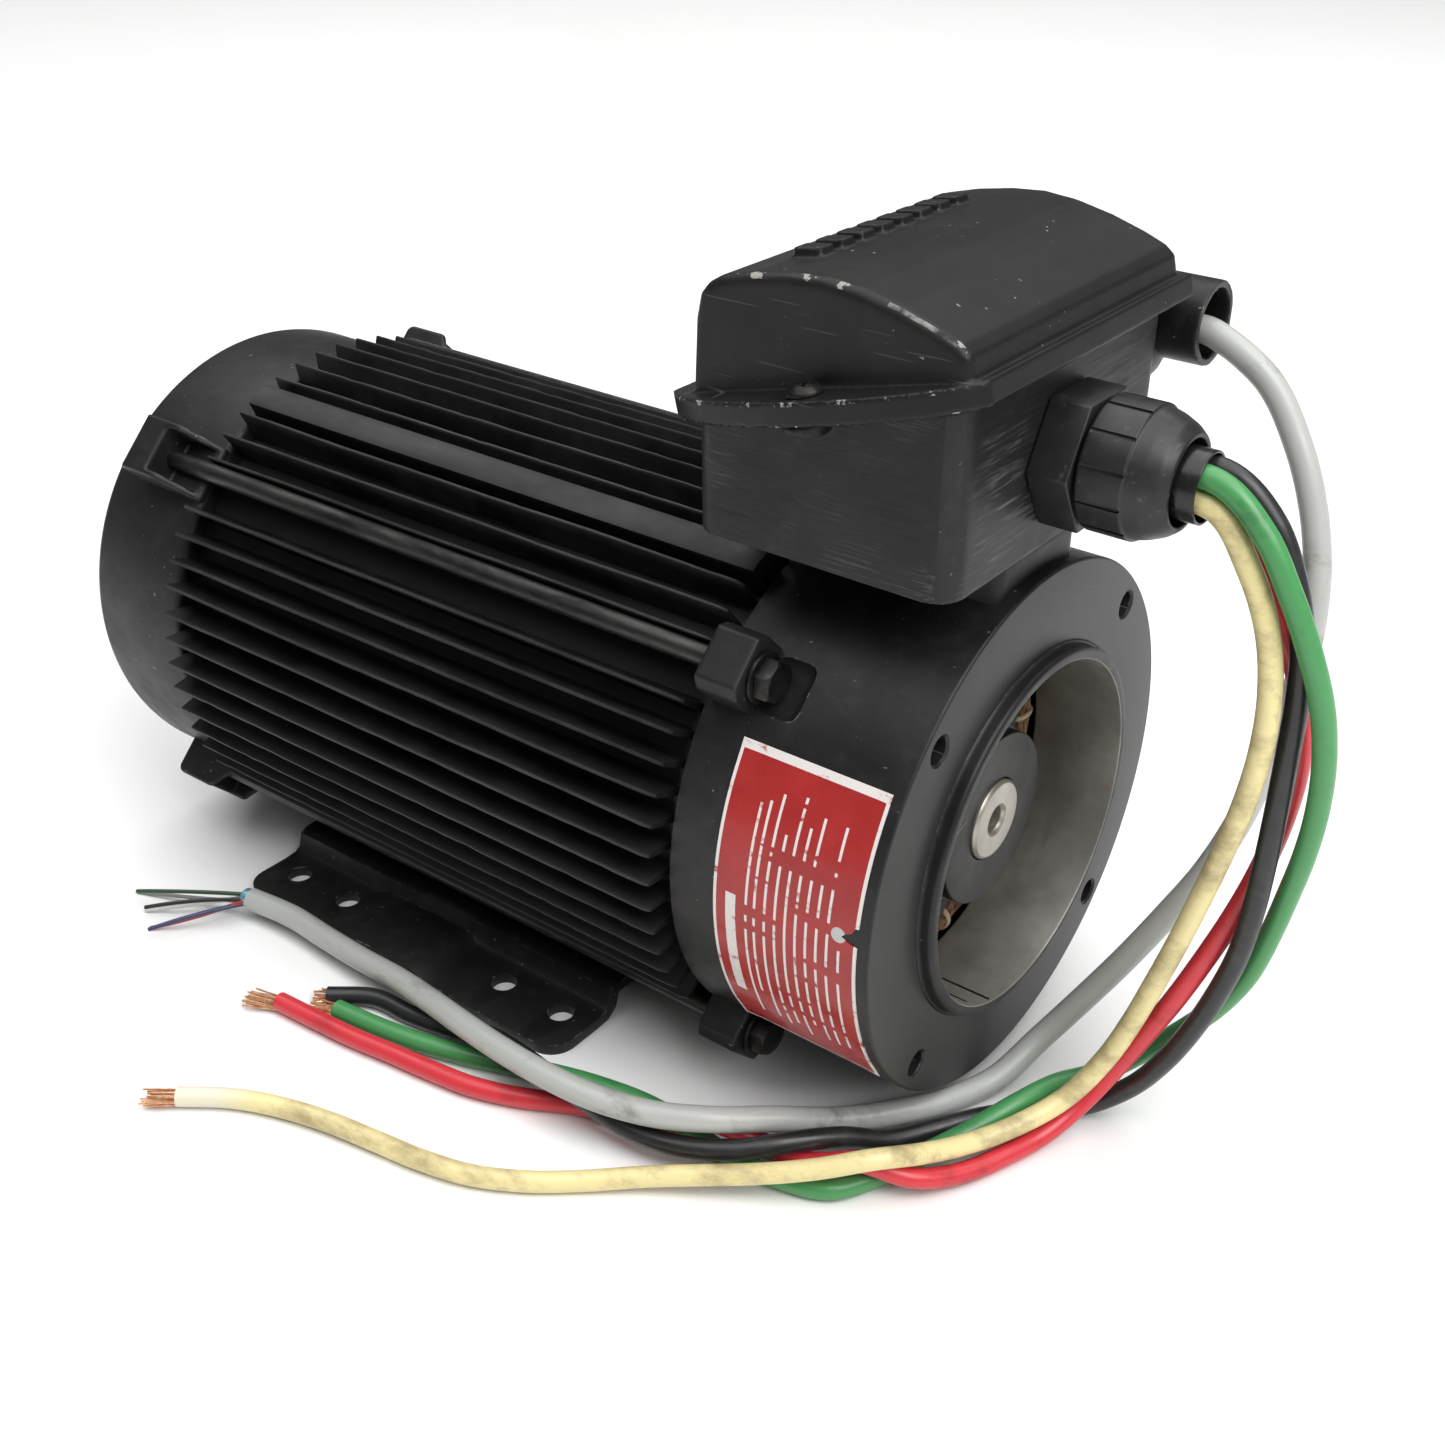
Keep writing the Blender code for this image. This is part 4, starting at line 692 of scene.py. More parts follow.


# Cords. Each route is a list of points, in millimetres from the C-face on the motor axis, as in the part's
# source.

ROUTES = {
    "signal_cable": [
        (-4, 74, 131.2), (6.67, 74, 131.1), (24.2, 73.4, 121.6), (36.1, 71.2, 107.1),
        (44.8, 68.5, 90.6), (50.6, 65, 72.9), (53.2, 60.7, 54.7), (53.2, 56.1, 36.3),
        (51.5, 50.6, 18.3), (48.7, 43.7, 0.9), (43.8, 36.2, -15.8), (36.6, 28.5, -31.5),
        (28.8, 20.6, -46.8), (20.2, 12.7, -61.8), (11.9, 2.6, -75.3), (6.1, -13.3, -83.4),
        (-1.4, -30.4, -84.1), (-11, -46.7, -82.5), (-21.8, -62, -79.9), (-32.5, -76.6, -74.6),
        (-44.4, -90.7, -71), (-60.8, -100, -70.9), (-79, -105.1, -70.7), (-97.8, -106.4, -70.8),
        (-116.7, -105.2, -71.7), (-135.4, -102.4, -73.4), (-153.7, -98.6, -76), (-172.3, -95.6, -78.2),
        (-191.1, -94.2, -80), (-209.9, -92.9, -80.7), (-228.8, -91.8, -80.8), (-247.7, -93.6, -80.9)],
    "lead_black": [
        (24, 3.35, 121.35), (43.4, 3.35, 121.59), (56.4, 3.3, 112.3), (64.2, 3.5, 98.2),
        (68.9, 3.6, 82.8), (70.5, 3.4, 66.8), (70.7, 3.5, 50.7), (70.9, 2.9, 34.5), (71, 1.7, 18.5),
        (70.7, 0.6, 2.4), (69, 0.1, -13.6), (65.2, -0.1, -29.3), (60.2, -0.5, -44.6),
        (53.9, -0.9, -59.4), (45.6, -1.6, -73.3), (34.3, -6.2, -83.4), (22.2, -16.4, -85.2),
        (11.3, -28.3, -85.2), (2.1, -41.5, -85.2), (-6.2, -55.3, -83.9), (-15.2, -67.6, -78.7),
        (-24.5, -80.3, -76.3), (-36.1, -91.2, -77.7), (-50.4, -98.5, -79), (-66.1, -101.8, -79.5),
        (-82.2, -101.8, -78.5), (-98.3, -100.8, -77.4), (-114.3, -98.9, -77.3), (-130.1, -97.2, -79.2),
        (-145.6, -98.3, -83.5), (-161.5, -100.1, -85.2), (-177.6, -101.4, -85.2), (-190.6, -110, -85.2)],
    "lead_green": [
        (24, -3.35, 121.35), (43.4, -3.35, 121.5), (56.9, -4.7, 112.6), (65.8, -4.3, 99.1),
        (73.1, -3.2, 84.6), (78.3, -1, 69.4), (80.6, 2, 53.6), (80.8, 4.8, 37.6), (79.4, 7, 21.6),
        (76.8, 8.4, 5.6), (73.8, 9.4, -10.4), (69.9, 9.9, -26.1), (63.2, 9.9, -40.9),
        (54.2, 9.6, -54.4), (44.3, 8.7, -67.3), (33.5, 4.2, -78.2), (24.8, -8.9, -78.4),
        (19.5, -24.2, -78.1), (12.8, -38.5, -81.7), (5.5, -52.7, -84.6), (-0.9, -67.7, -85.2),
        (-9.4, -81.3, -85.2), (-24.5, -86.8, -85.2), (-40.6, -88.4, -85.2), (-56.8, -86.7, -85.2),
        (-73, -86, -85.2), (-89.1, -88.4, -85.2), (-104.7, -92.7, -85.2), (-119.9, -98.5, -85.2),
        (-135.2, -103.9, -85.2), (-150.9, -108.1, -85.2), (-166.9, -110.8, -85.2),
        (-183.1, -112.6, -85.2)],
    "lead_cream": [
        (24, -3.35, 114.65), (43.4, -3.35, 114.5), (54.8, -4, 101.9), (62.1, -3.9, 86.9),
        (65.7, -4.3, 70.5), (66.3, -4.9, 53.8), (64.6, -5.4, 37.1), (61.4, -5.7, 20.6),
        (57.8, -6.4, 4.2), (53.9, -7.3, -12.1), (49.6, -8.4, -28.3), (45, -9.4, -44.3),
        (39.3, -11.7, -60), (32.1, -18.9, -72.9), (24.3, -32.8, -77.6), (16.3, -47.5, -78.3),
        (9.7, -62.4, -74.6), (1.3, -76.1, -71.2), (-12, -85.3, -75.6), (-26, -93.7, -79.2),
        (-40.1, -102.5, -81.2), (-54.3, -111.3, -83.4), (-67.6, -121.3, -85), (-80.9, -131.5, -85.2),
        (-95.7, -139.5, -85.2), (-111.8, -144, -85.2), (-128.4, -146.7, -85.2), (-144.9, -149.5, -85.2),
        (-161.1, -153.8, -85.2), (-176.5, -160.3, -85.2), (-190.4, -169.8, -85.2)],
    "lead_red": [
        (24, 3.35, 114.65), (43.4, 3.4, 114.5), (52.8, 5.9, 101.8), (59.7, 8.2, 87.6),
        (66.1, 10.3, 73.1), (70.4, 11.3, 57.8), (71.7, 11.2, 41.9), (70.6, 10.3, 26), (68, 8.6, 10.4),
        (64.3, 5.6, -4.8), (59.7, 1.7, -19.6), (54.5, -1.5, -34.3), (48.4, -3.1, -49), (42, -5, -63.5),
        (35.7, -11.6, -76.4), (29.9, -24.1, -83.9), (24.2, -38.9, -85.2), (17.7, -53.5, -84.7),
        (9, -66.3, -81.5), (-4.3, -73.6, -77.5), (-18.6, -77.1, -83.4), (-34, -80.1, -82.6),
        (-47.9, -85.9, -77.7), (-62.5, -91.6, -79.5), (-77.5, -94.5, -84), (-92.5, -99.7, -85.2),
        (-106.7, -107, -85.2), (-121.7, -112.4, -85.2), (-137.5, -115, -85.2), (-153.3, -116.9, -85.2),
        (-169.1, -119.1, -85.2), (-185, -120.3, -85.2), (-200.9, -121.3, -85.2)]}

# Name, radius and real length in mm, record slot, material
CORDS = {
    "signal_cable": (CABLE_RADIUS, 577, "jacket_grey",
                     jacket("jacket_signal", (0.42, 0.43, 0.41), (0.16, 0.16, 0.14), 0.3, 0.34)),
    "lead_black": (WIRE_RADIUS, 517, "jacket_black",
                   jacket("jacket_dark", (0.014, 0.014, 0.015), (0.05, 0.05, 0.048), 0.25, 0.36)),
    "lead_green": (WIRE_RADIUS, 522, "jacket_green",
                   jacket("jacket_leaf", (0.06, 0.27, 0.085), (0.03, 0.12, 0.045), 0.3, 0.36)),
    "lead_cream": (WIRE_RADIUS, 505, "jacket_cream",
                   jacket("jacket_ivory", (0.78, 0.67, 0.33), (0.36, 0.28, 0.14), 0.6, 0.38,
                          (0.74, 0.69, 0.54), -168)),
    "lead_red": (WIRE_RADIUS, 512, "jacket_red",
                 jacket("jacket_crimson", (0.62, 0.035, 0.05), (0.3, 0.02, 0.025), 0.3, 0.34))}
# Where each power wire's bare strands end
STRAND_TIPS = {"lead_cream": (-198.6, -176.2), "lead_red": (-212.3, -125.3), "lead_black": (-194.6, -112.7),
               "lead_green": (-190.6, -116.6)}
STRANDS = 19
# The signal cable's thin wires: where each ends, its height there, and its colour
THIN_WIRES = (((-284.2, -114.5), -81.5, (0.02, 0.06, 0.03)), ((-292.6, -109.7), -88.0, (0.2, 0.2, 0.2)),
              ((-275.9, -117.7), -83.0, (0.012, 0.012, 0.012)), ((-280.8, -115.0), -88.0, (0.6, 0.6, 0.58)),
              ((-265.0, -124.6), -83.5, (0.02, 0.03, 0.09)), ((-270.7, -120.4), -88.0, (0.34, 0.02, 0.02)))
THIN_WIRE_RADIUS = 0.74


def smooth_route(points, spacing):
    """Points read every so many millimetres along a smooth curve through the route's own points."""
    points = [Vector(point) for point in points]
    ends = [points[0] * 2 - points[1], *points, points[-1] * 2 - points[-2]]
    fine = []
    for before, start, end, after in zip(ends, ends[1:], ends[2:], ends[3:]):
        for step in range(16):
            t = step / 16
            fine.append(0.5 * ((2 * start) + (end - before) * t
                               + (2 * before - 5 * start + 4 * end - after) * t ** 2
                               + (3 * start - before - 3 * end + after) * t ** 3))
    fine.append(points[-1])
    length = sum((b - a).length for a, b in zip(fine, fine[1:]))
    count = max(2, round(length / spacing))
    picked = [fine[0]]
    walked = 0.0
    for a, b in zip(fine, fine[1:]):
        piece = (b - a).length
        while len(picked) < count and walked + piece >= length * len(picked) / count:
            picked.append(a.lerp(b, (length * len(picked) / count - walked) / piece))
        walked += piece
    picked.append(fine[-1])
    return picked


def bowed(start, middle, stop, steps):
    """Points of a curve that leaves its start towards the middle and ends at the stop."""
    shares = [i / steps for i in range(steps + 1)]
    return [start.lerp(middle, t).lerp(middle.lerp(stop, t), t) for t in shares]


def bare_strands(name, end, ahead, tip):
    """A fan of bare copper strands from the end of a wire's jacket to its tip."""
    side = Vector((-ahead.y, ahead.x, 0)).normalized()
    up = ahead.cross(side)
    if up.z < 0:
        up = -up
    lines = []
    for index in range(STRANDS):
        turn = index * 2.4
        reach = 2.35 * math.sqrt(index / STRANDS)
        start = end - ahead * 2 + (side * math.cos(turn) + up * math.sin(turn)) * reach
        spread = 1.2 + 0.8 * DICE.random()
        stop = Vector((*tip, end.z - 0.4)) + ahead * DICE.uniform(-2.5, 1.0)
        stop += (side * math.cos(turn + 0.5) + up * math.sin(turn + 0.5) * 0.55) * reach * spread
        middle = start.lerp(stop, 0.5) + side * DICE.uniform(-0.5, 0.5)
        lines.append([(p.x, p.y, max(p.z, 0.5 - SHAFT_HEIGHT)) for p in bowed(start, middle, stop, 5)])
    obj = tubes(lines, 0.36, 7)
    return done(obj, f"{name}_strands", slot=CORDS[name][2], materials=copper())


def thin_wires(end, ahead):
    """The signal cable's foil collar and its six thin wires, some lifted and some on the ground."""
    collar = lathe([(-2.0, 3.3), (2.6, 3.4), (3.4, 2.6), (3.0, 1.2), (-2.0, 1.2)], corner=0.25, steps=40)
    collar.data.transform(HOME.inverted())
    turn = ahead.to_track_quat("X", "Z").to_matrix().to_4x4()
    collar.data.transform(Matrix.Translation(place(*end)) @ turn)
    made = [done(collar, "signal_cable_foil", slot="jacket_grey", materials=foil())]
    side = Vector((-ahead.y, ahead.x, 0)).normalized()
    for index, (tip, height, colour) in enumerate(THIN_WIRES, 1):
        turn = index * 2.2
        start = end + side * 1.6 * math.cos(turn) + Vector((0, 0, 1.5 * math.sin(turn)))
        stop = Vector((*tip, height))
        hump = Vector((0, 0, 2.6 if height > -86 else -1.0))
        knee = start.lerp(stop, 0.45) + hump + side * DICE.uniform(-2.5, 2.5)
        lowest = THIN_WIRE_RADIUS + 0.1 - SHAFT_HEIGHT
        line = [(p.x, p.y, max(p.z, lowest)) for p in bowed(start, knee, stop, 14)]
        skin = jacket(f"thin_jacket_{index}", colour, tuple(c * 0.6 + 0.01 for c in colour), 0.3, 0.32)
        obj = tubes([line], THIN_WIRE_RADIUS, 10)
        made.append(done(obj, f"thin_wire_{index}", slot="jacket_grey", materials=skin))
    return made


def make_cords():
    for name, route in ROUTES.items():
        radius, length, slot, skin = CORDS[name]
        points = smooth_route(route, 2.0)
        curve = bpy.data.curves.new(f"{name}_run", "CURVE")
        curve.dimensions = "3D"
        curve.bevel_depth = radius * MM
        curve.bevel_resolution = 6
        curve.use_fill_caps = True
        spline = curve.splines.new("POLY")
        spline.points.add(len(points) - 1)
        for spot, point in zip(spline.points, points):
            spot.co = (*place(*point), 1.0)
        spline.use_smooth = True
        curve.materials.append(skin)
        obj = added(f"{name}_run", curve)
        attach(obj, "stator")
        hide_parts(name)
        end = points[-1]
        ahead = (points[-1] - points[-3]).normalized()
        if name in STRAND_TIPS:
            far = [bare_strands(name, end, ahead, STRAND_TIPS[name])]
        else:
            far = thin_wires(end, ahead)


make_cords()


# Housing


def lug_placing(degrees, x):
    """A placing on the bell's side: local X across, local Y outwards, extruded forwards."""
    out = Vector((0, *around(1, degrees)))
    forward = Vector((1, 0, 0))
    return at(x, 0, 0, Matrix((out.cross(forward), out, forward)).transposed().to_4x4())


def radial_block(degrees, x, radius, size, corner=0.0):
    return block(size, at(x, *around(radius, degrees), about_axis(degrees)), corner)


def axial_rod(radius, x0, x1, y, z, sides=48, top=None):
    return rod(radius, x1 - x0, at((x0 + x1) / 2, y, z, ALONG_X), sides, top)


def bell_finish(face):
    """Machined on the C-face, bare inside the mouth, black elsewhere."""
    x, y, z = local(face.center)
    radius = math.hypot(y, z)
    if face.normal.x > 0.9 and x > -0.4 and radius > PILOT_RADIUS:
        return 1
    return 2 if x > -27 and radius < BORE_RADIUS + 0.35 and face.normal.x < 0.95 else 0


def make_front_bell():
    """Drive-end bell: the turned ring, four bolt lugs, the box's pedestal and the bearing bridge."""
    profile = [
        (PILOT_HEIGHT, PILOT_RADIUS - 0.9), (PILOT_HEIGHT - 0.9, PILOT_RADIUS), (0.5, PILOT_RADIUS),
        (-0.5, PILOT_RADIUS + 0.5), (0.0, PILOT_RADIUS + 1.3), (0.0, FLANGE_RADIUS - 0.6),
        (-0.6, FLANGE_RADIUS), (BELL_END, FLANGE_RADIUS),
        (BELL_END, FRAME_BORE - 0.3), (BELL_END - 5, FRAME_BORE - 0.3), (BELL_END - 5, 67.5),
        (-58, 64.5), (-31, 64.5), (-26, BORE_RADIUS), (PILOT_HEIGHT, BORE_RADIUS)]
    ring = lathe(profile, steps=288, corner=0.5)
    cuts = []
    for degrees in LUG_ANGLES:
        y, z = around(BOLT_CIRCLE / 2, degrees)
        cuts.append(axial_rod(4.0, -17, 2, y, z))
        cuts.append(axial_rod(3.2, -1.5, 0.6, y, z, 48, 5.4))
        cuts.append(radial_block(degrees, -44.5, 94, (14, 18, 28), 4.0))
    for y, length in ((-17, 22), (-27, 18)):
        cuts.append(block((length, 1.4, 6.0), at(-8, y, -math.sqrt(BORE_RADIUS ** 2 - y * y) - 0.5), 0.3))
    combine(ring, cuts)
    done(ring, "front_bell_ring", "front_end_bell", slot="grey_paint",
         materials=(CAST_BLACK, machined_paint(), BARE_WALL), choose=bell_finish)
    for index, degrees in enumerate(LUG_ANGLES, 1):
        outline = [(-10, 66), (10, 66), (10, LUG_FLAT - 3.5), (7.6, LUG_FLAT), (-7.6, LUG_FLAT),
                   (-10, LUG_FLAT - 3.5)]
        lug = prism(outline, 14.0, lug_placing(degrees, -65.2))
        combine(lug, [axial_rod(3.7, -70, -45, *around(TIE_RADIUS, degrees))])
        cast(lug, 0.55, 6)
        done(lug, f"front_bell_lug_{index}")
    pedestal = block((56, 42, 20), at(-32, 0, 82.2), 3.0, 4)
    combine(pedestal, [axial_rod(FLANGE_RADIUS - 6, -80, 10, 0, 0, 128)])
    cast(pedestal, 0.7, 3)
    done(pedestal, "box_pedestal")
    hub = lathe([(-15.5, 28.5), (-37, 28.5), (-37, 24.5), (-15.5, 24.5)], steps=96, corner=0.8)
    for degrees in (55, 235):
        combine(hub, [radial_block(degrees, -21.5, 41, (9, 15, 30), 1.5)], "UNION")
    done(hub, "bearing_bridge", slot="grey_paint")


def fin_section(x):
    """One cross-section of the extruded frame at x, with its fins' small bends and knocks."""
    points = []
    front = max(0.0, 1 - (FIN_FRONT - x) / 5)
    for angle in range(0, 360, FIN_STEP):
        if angle in TIE_GAPS:
            points += [around(CORE_RADIUS, angle + d) for d in (-1.5, 1.5)]
            continue
        land = angle in LANDS
        sway = 0.0 if land else 0.4 * noise.noise(Vector((x * 0.02, angle * 1.7, 3.0)))
        knock = 0.5 * max(0.0, noise.noise(Vector((x * 0.35, angle * 2.3, 9.0)))) + 0.7 * front ** 3
        half_root, half_tip = (4.9, 4.7) if land else (1.25, 0.6)
        tip = FIN_RADIUS - (0.0 if land else knock)
        turn = math.radians(angle)
        out = Vector((math.cos(turn), math.sin(turn)))
        side = Vector((-out.y, out.x))
        for along, across in ((CORE_RADIUS, -half_root - 0.7), (CORE_RADIUS + 0.8, -half_root),
                              (tip - 0.45, -half_tip + sway), (tip, -half_tip * 0.5 + sway),
                              (tip, half_tip * 0.5 + sway), (tip - 0.45, half_tip + sway),
                              (CORE_RADIUS + 0.8, half_root), (CORE_RADIUS, half_root + 0.7)):
            points.append(tuple(out * along + side * across))
    return points


def make_frame():
    """Finned frame: a loft along the motor, bored, flat underneath, with a plain collar at its front."""
    stations = [FIN_FRONT, FIN_FRONT - 0.6, FIN_FRONT - 1.6, FIN_FRONT - 3]
    stations += [FIN_FRONT - 3 - (FIN_FRONT - 3 - FRAME_REAR) * i / 44 for i in range(1, 45)]
    bm = bmesh.new()
    rows = [[bm.verts.new((x * MM, y * MM, z * MM)) for y, z in fin_section(x)] for x in stations]
    loft(bm, rows, True)
    bm.faces.new(rows[0])
    bm.faces.new(rows[-1][::-1])
    frame_body = shape(bm, HOME)
    bore = axial_rod(FRAME_BORE, FRAME_REAR - 5, FRAME_FRONT + 5, 0, 0, 96)
    flat = block((230, 124, 30), at((FRAME_FRONT + FRAME_REAR) / 2, 0, -CORE_RADIUS - 15))
    combine(frame_body, [bore, flat])
    done(frame_body, "finned_frame", "frame_housing", materials=fin_paint())
    collar = lathe([(FRAME_FRONT, CORE_RADIUS + 1.0), (FIN_FRONT - 1, CORE_RADIUS + 1.0),
                    (FIN_FRONT - 1, FRAME_BORE + 0.2), (FRAME_FRONT, FRAME_BORE + 0.2)], corner=0.3)
    combine(collar, [block((30, 124, 30), at(FRAME_FRONT, 0, -CORE_RADIUS - 15))])
    done(collar, "frame_collar")


def rear_pocket(degrees):
    """The room for a tie bolt's end in a rear lug."""
    return radial_block(degrees, -286, 92.5, (20, 15.5, 18))


def make_rear_bell():
    """Rear bell: a drum with a closed back and four pocketed lugs."""
    profile = [(REAR_END + 5, 0.0), (REAR_END + 5, 71.0), (REAR_END + 12, 75.0), (REAR_BELL_FRONT - 4, 75.0),
               (REAR_BELL_FRONT - 1, 67.5), (REAR_BELL_FRONT + 5, 67.5),
               (REAR_BELL_FRONT + 5, FRAME_BORE - 0.3),
               (REAR_BELL_FRONT, FRAME_BORE - 0.3), (REAR_BELL_FRONT, FLANGE_RADIUS - 0.4),
               (REAR_END, FLANGE_RADIUS - 0.4), (REAR_END, 60.0), (REAR_END + 1.6, 58.0),
               (REAR_END + 1.6, 30.0), (REAR_END, 28.0), (REAR_END, 0.0)]
    drum = lathe(profile, steps=192, corner=2.4, closed=False)
    combine(drum, [rear_pocket(degrees) for degrees in LUG_ANGLES])
    done(drum, "rear_bell_drum", "rear_end_bell")
    side_view = [(-309, 76), (-280.2, 76), (-280.2, 82), (-291, LUG_FLAT), (-307, LUG_FLAT),
                 (-309, LUG_FLAT - 2)]
    for index, degrees in enumerate(LUG_ANGLES, 1):
        out = Vector((0, *around(1, degrees)))
        side = Vector((1, 0, 0)).cross(out)
        turn = Matrix((Vector((1, 0, 0)), out, side)).transposed().to_4x4()
        lug = prism(side_view, 20.0, at(0, -10 * side.y, -10 * side.z, turn))
        combine(lug, [rear_pocket(degrees)])
        cast(lug, 0.7, 3)
        done(lug, f"rear_bell_lug_{index}")


def hexagon(radius):
    return [around(radius, 60 * i) for i in range(6)]


def hex_head(across, thick, placing):
    """A hexagon head along local Z, with its upper corners turned off."""
    radius = across / math.sqrt(3)
    head = prism(hexagon(radius), thick, placing)
    lift = Matrix.Translation((0, 0, thick / 2 * MM))
    turning = rod(radius + thick * 1.1, thick, placing @ lift, 64, across / 2 * 0.96)
    return soften(combine(head, [turning], "INTERSECT"), 0.18, 2, 30)


def make_tie_bolts():
    """Tie bolts: plain rods with hexagon heads and thin washers."""
    for index, degrees in enumerate(LUG_ANGLES, 1):
        y, z = around(TIE_RADIUS, degrees)
        head = hex_head(11.1, 4.6, at(-49.5, y, z, ALONG_X))
        done(head, f"tie_bolt_head_{index}", slot="bolt_steel", materials=dark_steel())
        profile = [(-48.6, 0.0), (-48.6, ROD_RADIUS), (-300.0, ROD_RADIUS), (-304.5, ROD_RADIUS - 0.6),
                   (-304.5, 0.0)]
        shank = lathe(profile, at(0, y, z), 32, 0.2, False)
        done(shank, f"tie_bolt_shank_{index}", f"tie_bolt_{index}", slot="bolt_steel", materials=rod_steel())
        washer = lathe([(0.55, 7.4), (-0.55, 7.4), (-0.55, 3.6), (0.55, 3.6)], at(-50.35, y, z), 64, 0.2)
        done(washer, f"tie_bolt_washer_{index}", f"tie_washer_{index}", slot="bright_steel",
             materials=dark_steel())


def foot_rise(x):
    """How far the foot is raised between its two pads."""
    return 3.0 * smoothstep((x + 226) / 34) * smoothstep((-170 - x) / 8)


def make_base():
    """Pressed steel base: a raised bed under the frame and a foot on each side, from one sheet."""
    bed = -CORE_RADIUS - 0.3
    foot = -SHAFT_HEIGHT + FOOT_THICKNESS
    across = [(-FOOT_HALF_Y - 4, foot, 1), (-66, foot, 1), (-61.5, foot + 0.4, 0.8), (-59.5, foot + 1.8, 0.3),
              (-57.8, bed - 1.6, 0), (-55.5, bed - 0.3, 0), (-52.5, bed, 0)]
    across += [(-y, z, rise) for y, z, rise in reversed(across)]
    bm = bmesh.new()
    rows = [[bm.verts.new(place(x, y, z + rise * foot_rise(x))) for y, z, rise in across]
            for x in range(-264, -108, 3)]
    loft(bm, rows, False)
    sheet = shape(bm, Matrix.Identity(4))
    if sum(face.normal.z for face in sheet.data.polygons) < 0:
        sheet.data.flip_normals()
    skin = sheet.modifiers.new("sheet", "SOLIDIFY")
    skin.thickness = FOOT_THICKNESS * MM
    skin.offset = -1.0
    skin.use_even_offset = True
    settle(sheet)
    plan = rounded_outline(FOOT_CENTRE_X - 75.5, FOOT_CENTRE_X + 75.5, -FOOT_HALF_Y, FOOT_HALF_Y, 9.0)
    combine(sheet, [prism(plan, 40, at(0, 0, -100))], "INTERSECT")
    holes = [(FOOT_CENTRE_X + dx, y) for dx in FOOT_HOLE_X for y in (-FOOT_HOLE_Y, FOOT_HOLE_Y)]
    combine(sheet, [rod(4.4, 30, at(x, y, -85), 40) for x, y in holes])
    soften(sheet, 0.45, 2, 50)
    done(sheet, "foot_base", "mounting_base")


make_front_bell()
make_frame()
make_rear_bell()
make_tie_bolts()
make_base()


# Shaft, hub disc and winding


def make_shaft():
    """The shaft with its tapped and chamfered boss, and the hub disc round it."""
    outline = [(-26.0, 0.0), (-26.0, 4.2), (-9.9, 4.2), (-8.8, 5.3), (-8.8, 11.7), (-9.7, 12.6),
               (-37.5, 12.6), (-37.5, 16.0), (-250, 16.0), (-250, 11.0), (-300.5, 11.0), (-300.5, 8.4),
               (-318, 8.4), (-318, 0.0)]
    nose = lathe(outline, steps=128, corner=0.25, closed=False)
    done(nose, "shaft_turned", "shaft", body="rotor", slot="bright_steel", materials=BRIGHT)
    disc = lathe([(-10.2, 12.9), (-10.2, 27.05), (-14.6, 27.05), (-14.6, 12.9)], steps=128, corner=0.5)
    grey = turned_metal("hub_grey", (0.04, 0.0395, 0.0375), 0.46, 0.2)
    done(disc, "hub_disc", "shaft_hub_disc", body="rotor", slot="grey_paint", materials=grey)
    scratch = tubes([[(-10.15, -24, 3), (-10.12, -20.5, 6.5), (-10.15, -16, 8)]], 0.12, 6)
    done(scratch, "hub_scratch", body="rotor", slot="grey_paint", materials=BRIGHT)


def make_winding():
    """End turns: enamelled wires that run round the mouth in waves, tied with pale lacing."""
    profile = ((46.4, -28.2), (47.6, -27.6), (48.8, -27.2), (50.0, -27.2), (51.2, -27.8), (52.4, -28.5),
               (53.6, -29.8), (46.2, -29.8))
    lines = []
    for index, (radius, x) in enumerate(profile):
        for layer in range(2):
            phase = DICE.uniform(0, 6)
            line = []
            for i in range(181):
                turn = math.tau * i / 180
                wave = 0.55 * math.sin(9 * turn + phase) + 0.3 * math.sin(23 * turn + 2 * phase)
                r = radius + layer * 0.6 + wave
                sway = 0.35 * math.sin(13 * turn + phase + layer)
                line.append((x + sway, r * math.cos(turn), r * math.sin(turn)))
            lines.append(line)
    done(tubes(lines, 0.55, 8), "winding_turns", slot="winding_enamel", materials=lacquer())
    loops = []
    for index in range(12):
        for shift in (-1.1, 1.1):
            centre = math.radians(index * 30 + 8 + shift + DICE.uniform(-2, 2))
            loop = []
            for i in range(25):
                turn = math.tau * i / 24
                r = 49.9 + 4.4 * math.cos(turn)
                x = -30.0 + 3.6 * math.sin(turn)
                lean = centre + 0.02 * math.sin(turn)
                loop.append((x, r * math.cos(lean), r * math.sin(lean)))
            loops.append(loop)
    done(tubes(loops, 0.62, 8), "winding_lacing", slot="winding_enamel", materials=lacing())


make_shaft()
make_winding()


# Terminal box


def box_finish(face):
    """Brushed along the motor on the near and far sides and scuffed on the front, both with painted highlight
    streaks; cast elsewhere.
    """
    if abs(face.normal.y) > 0.9:
        return 1
    return 2 if face.normal.x > 0.9 else 0


def inner_block(inset, bottom, top, radius):
    plan = rounded_outline(BOX_REAR + inset, BOX_FRONT - inset, BOX_NEAR_Y + inset, BOX_FAR_Y - inset, radius)
    return prism(plan, top - bottom, at(0, 0, bottom))


def sloped_block(height, above):
    """A big block whose face lies on the joint, above or below it."""
    middle = Matrix.Translation((0, 0, (60 if above else -60) * MM))
    return block((260, 240, 120), joint_frame(height) @ middle)


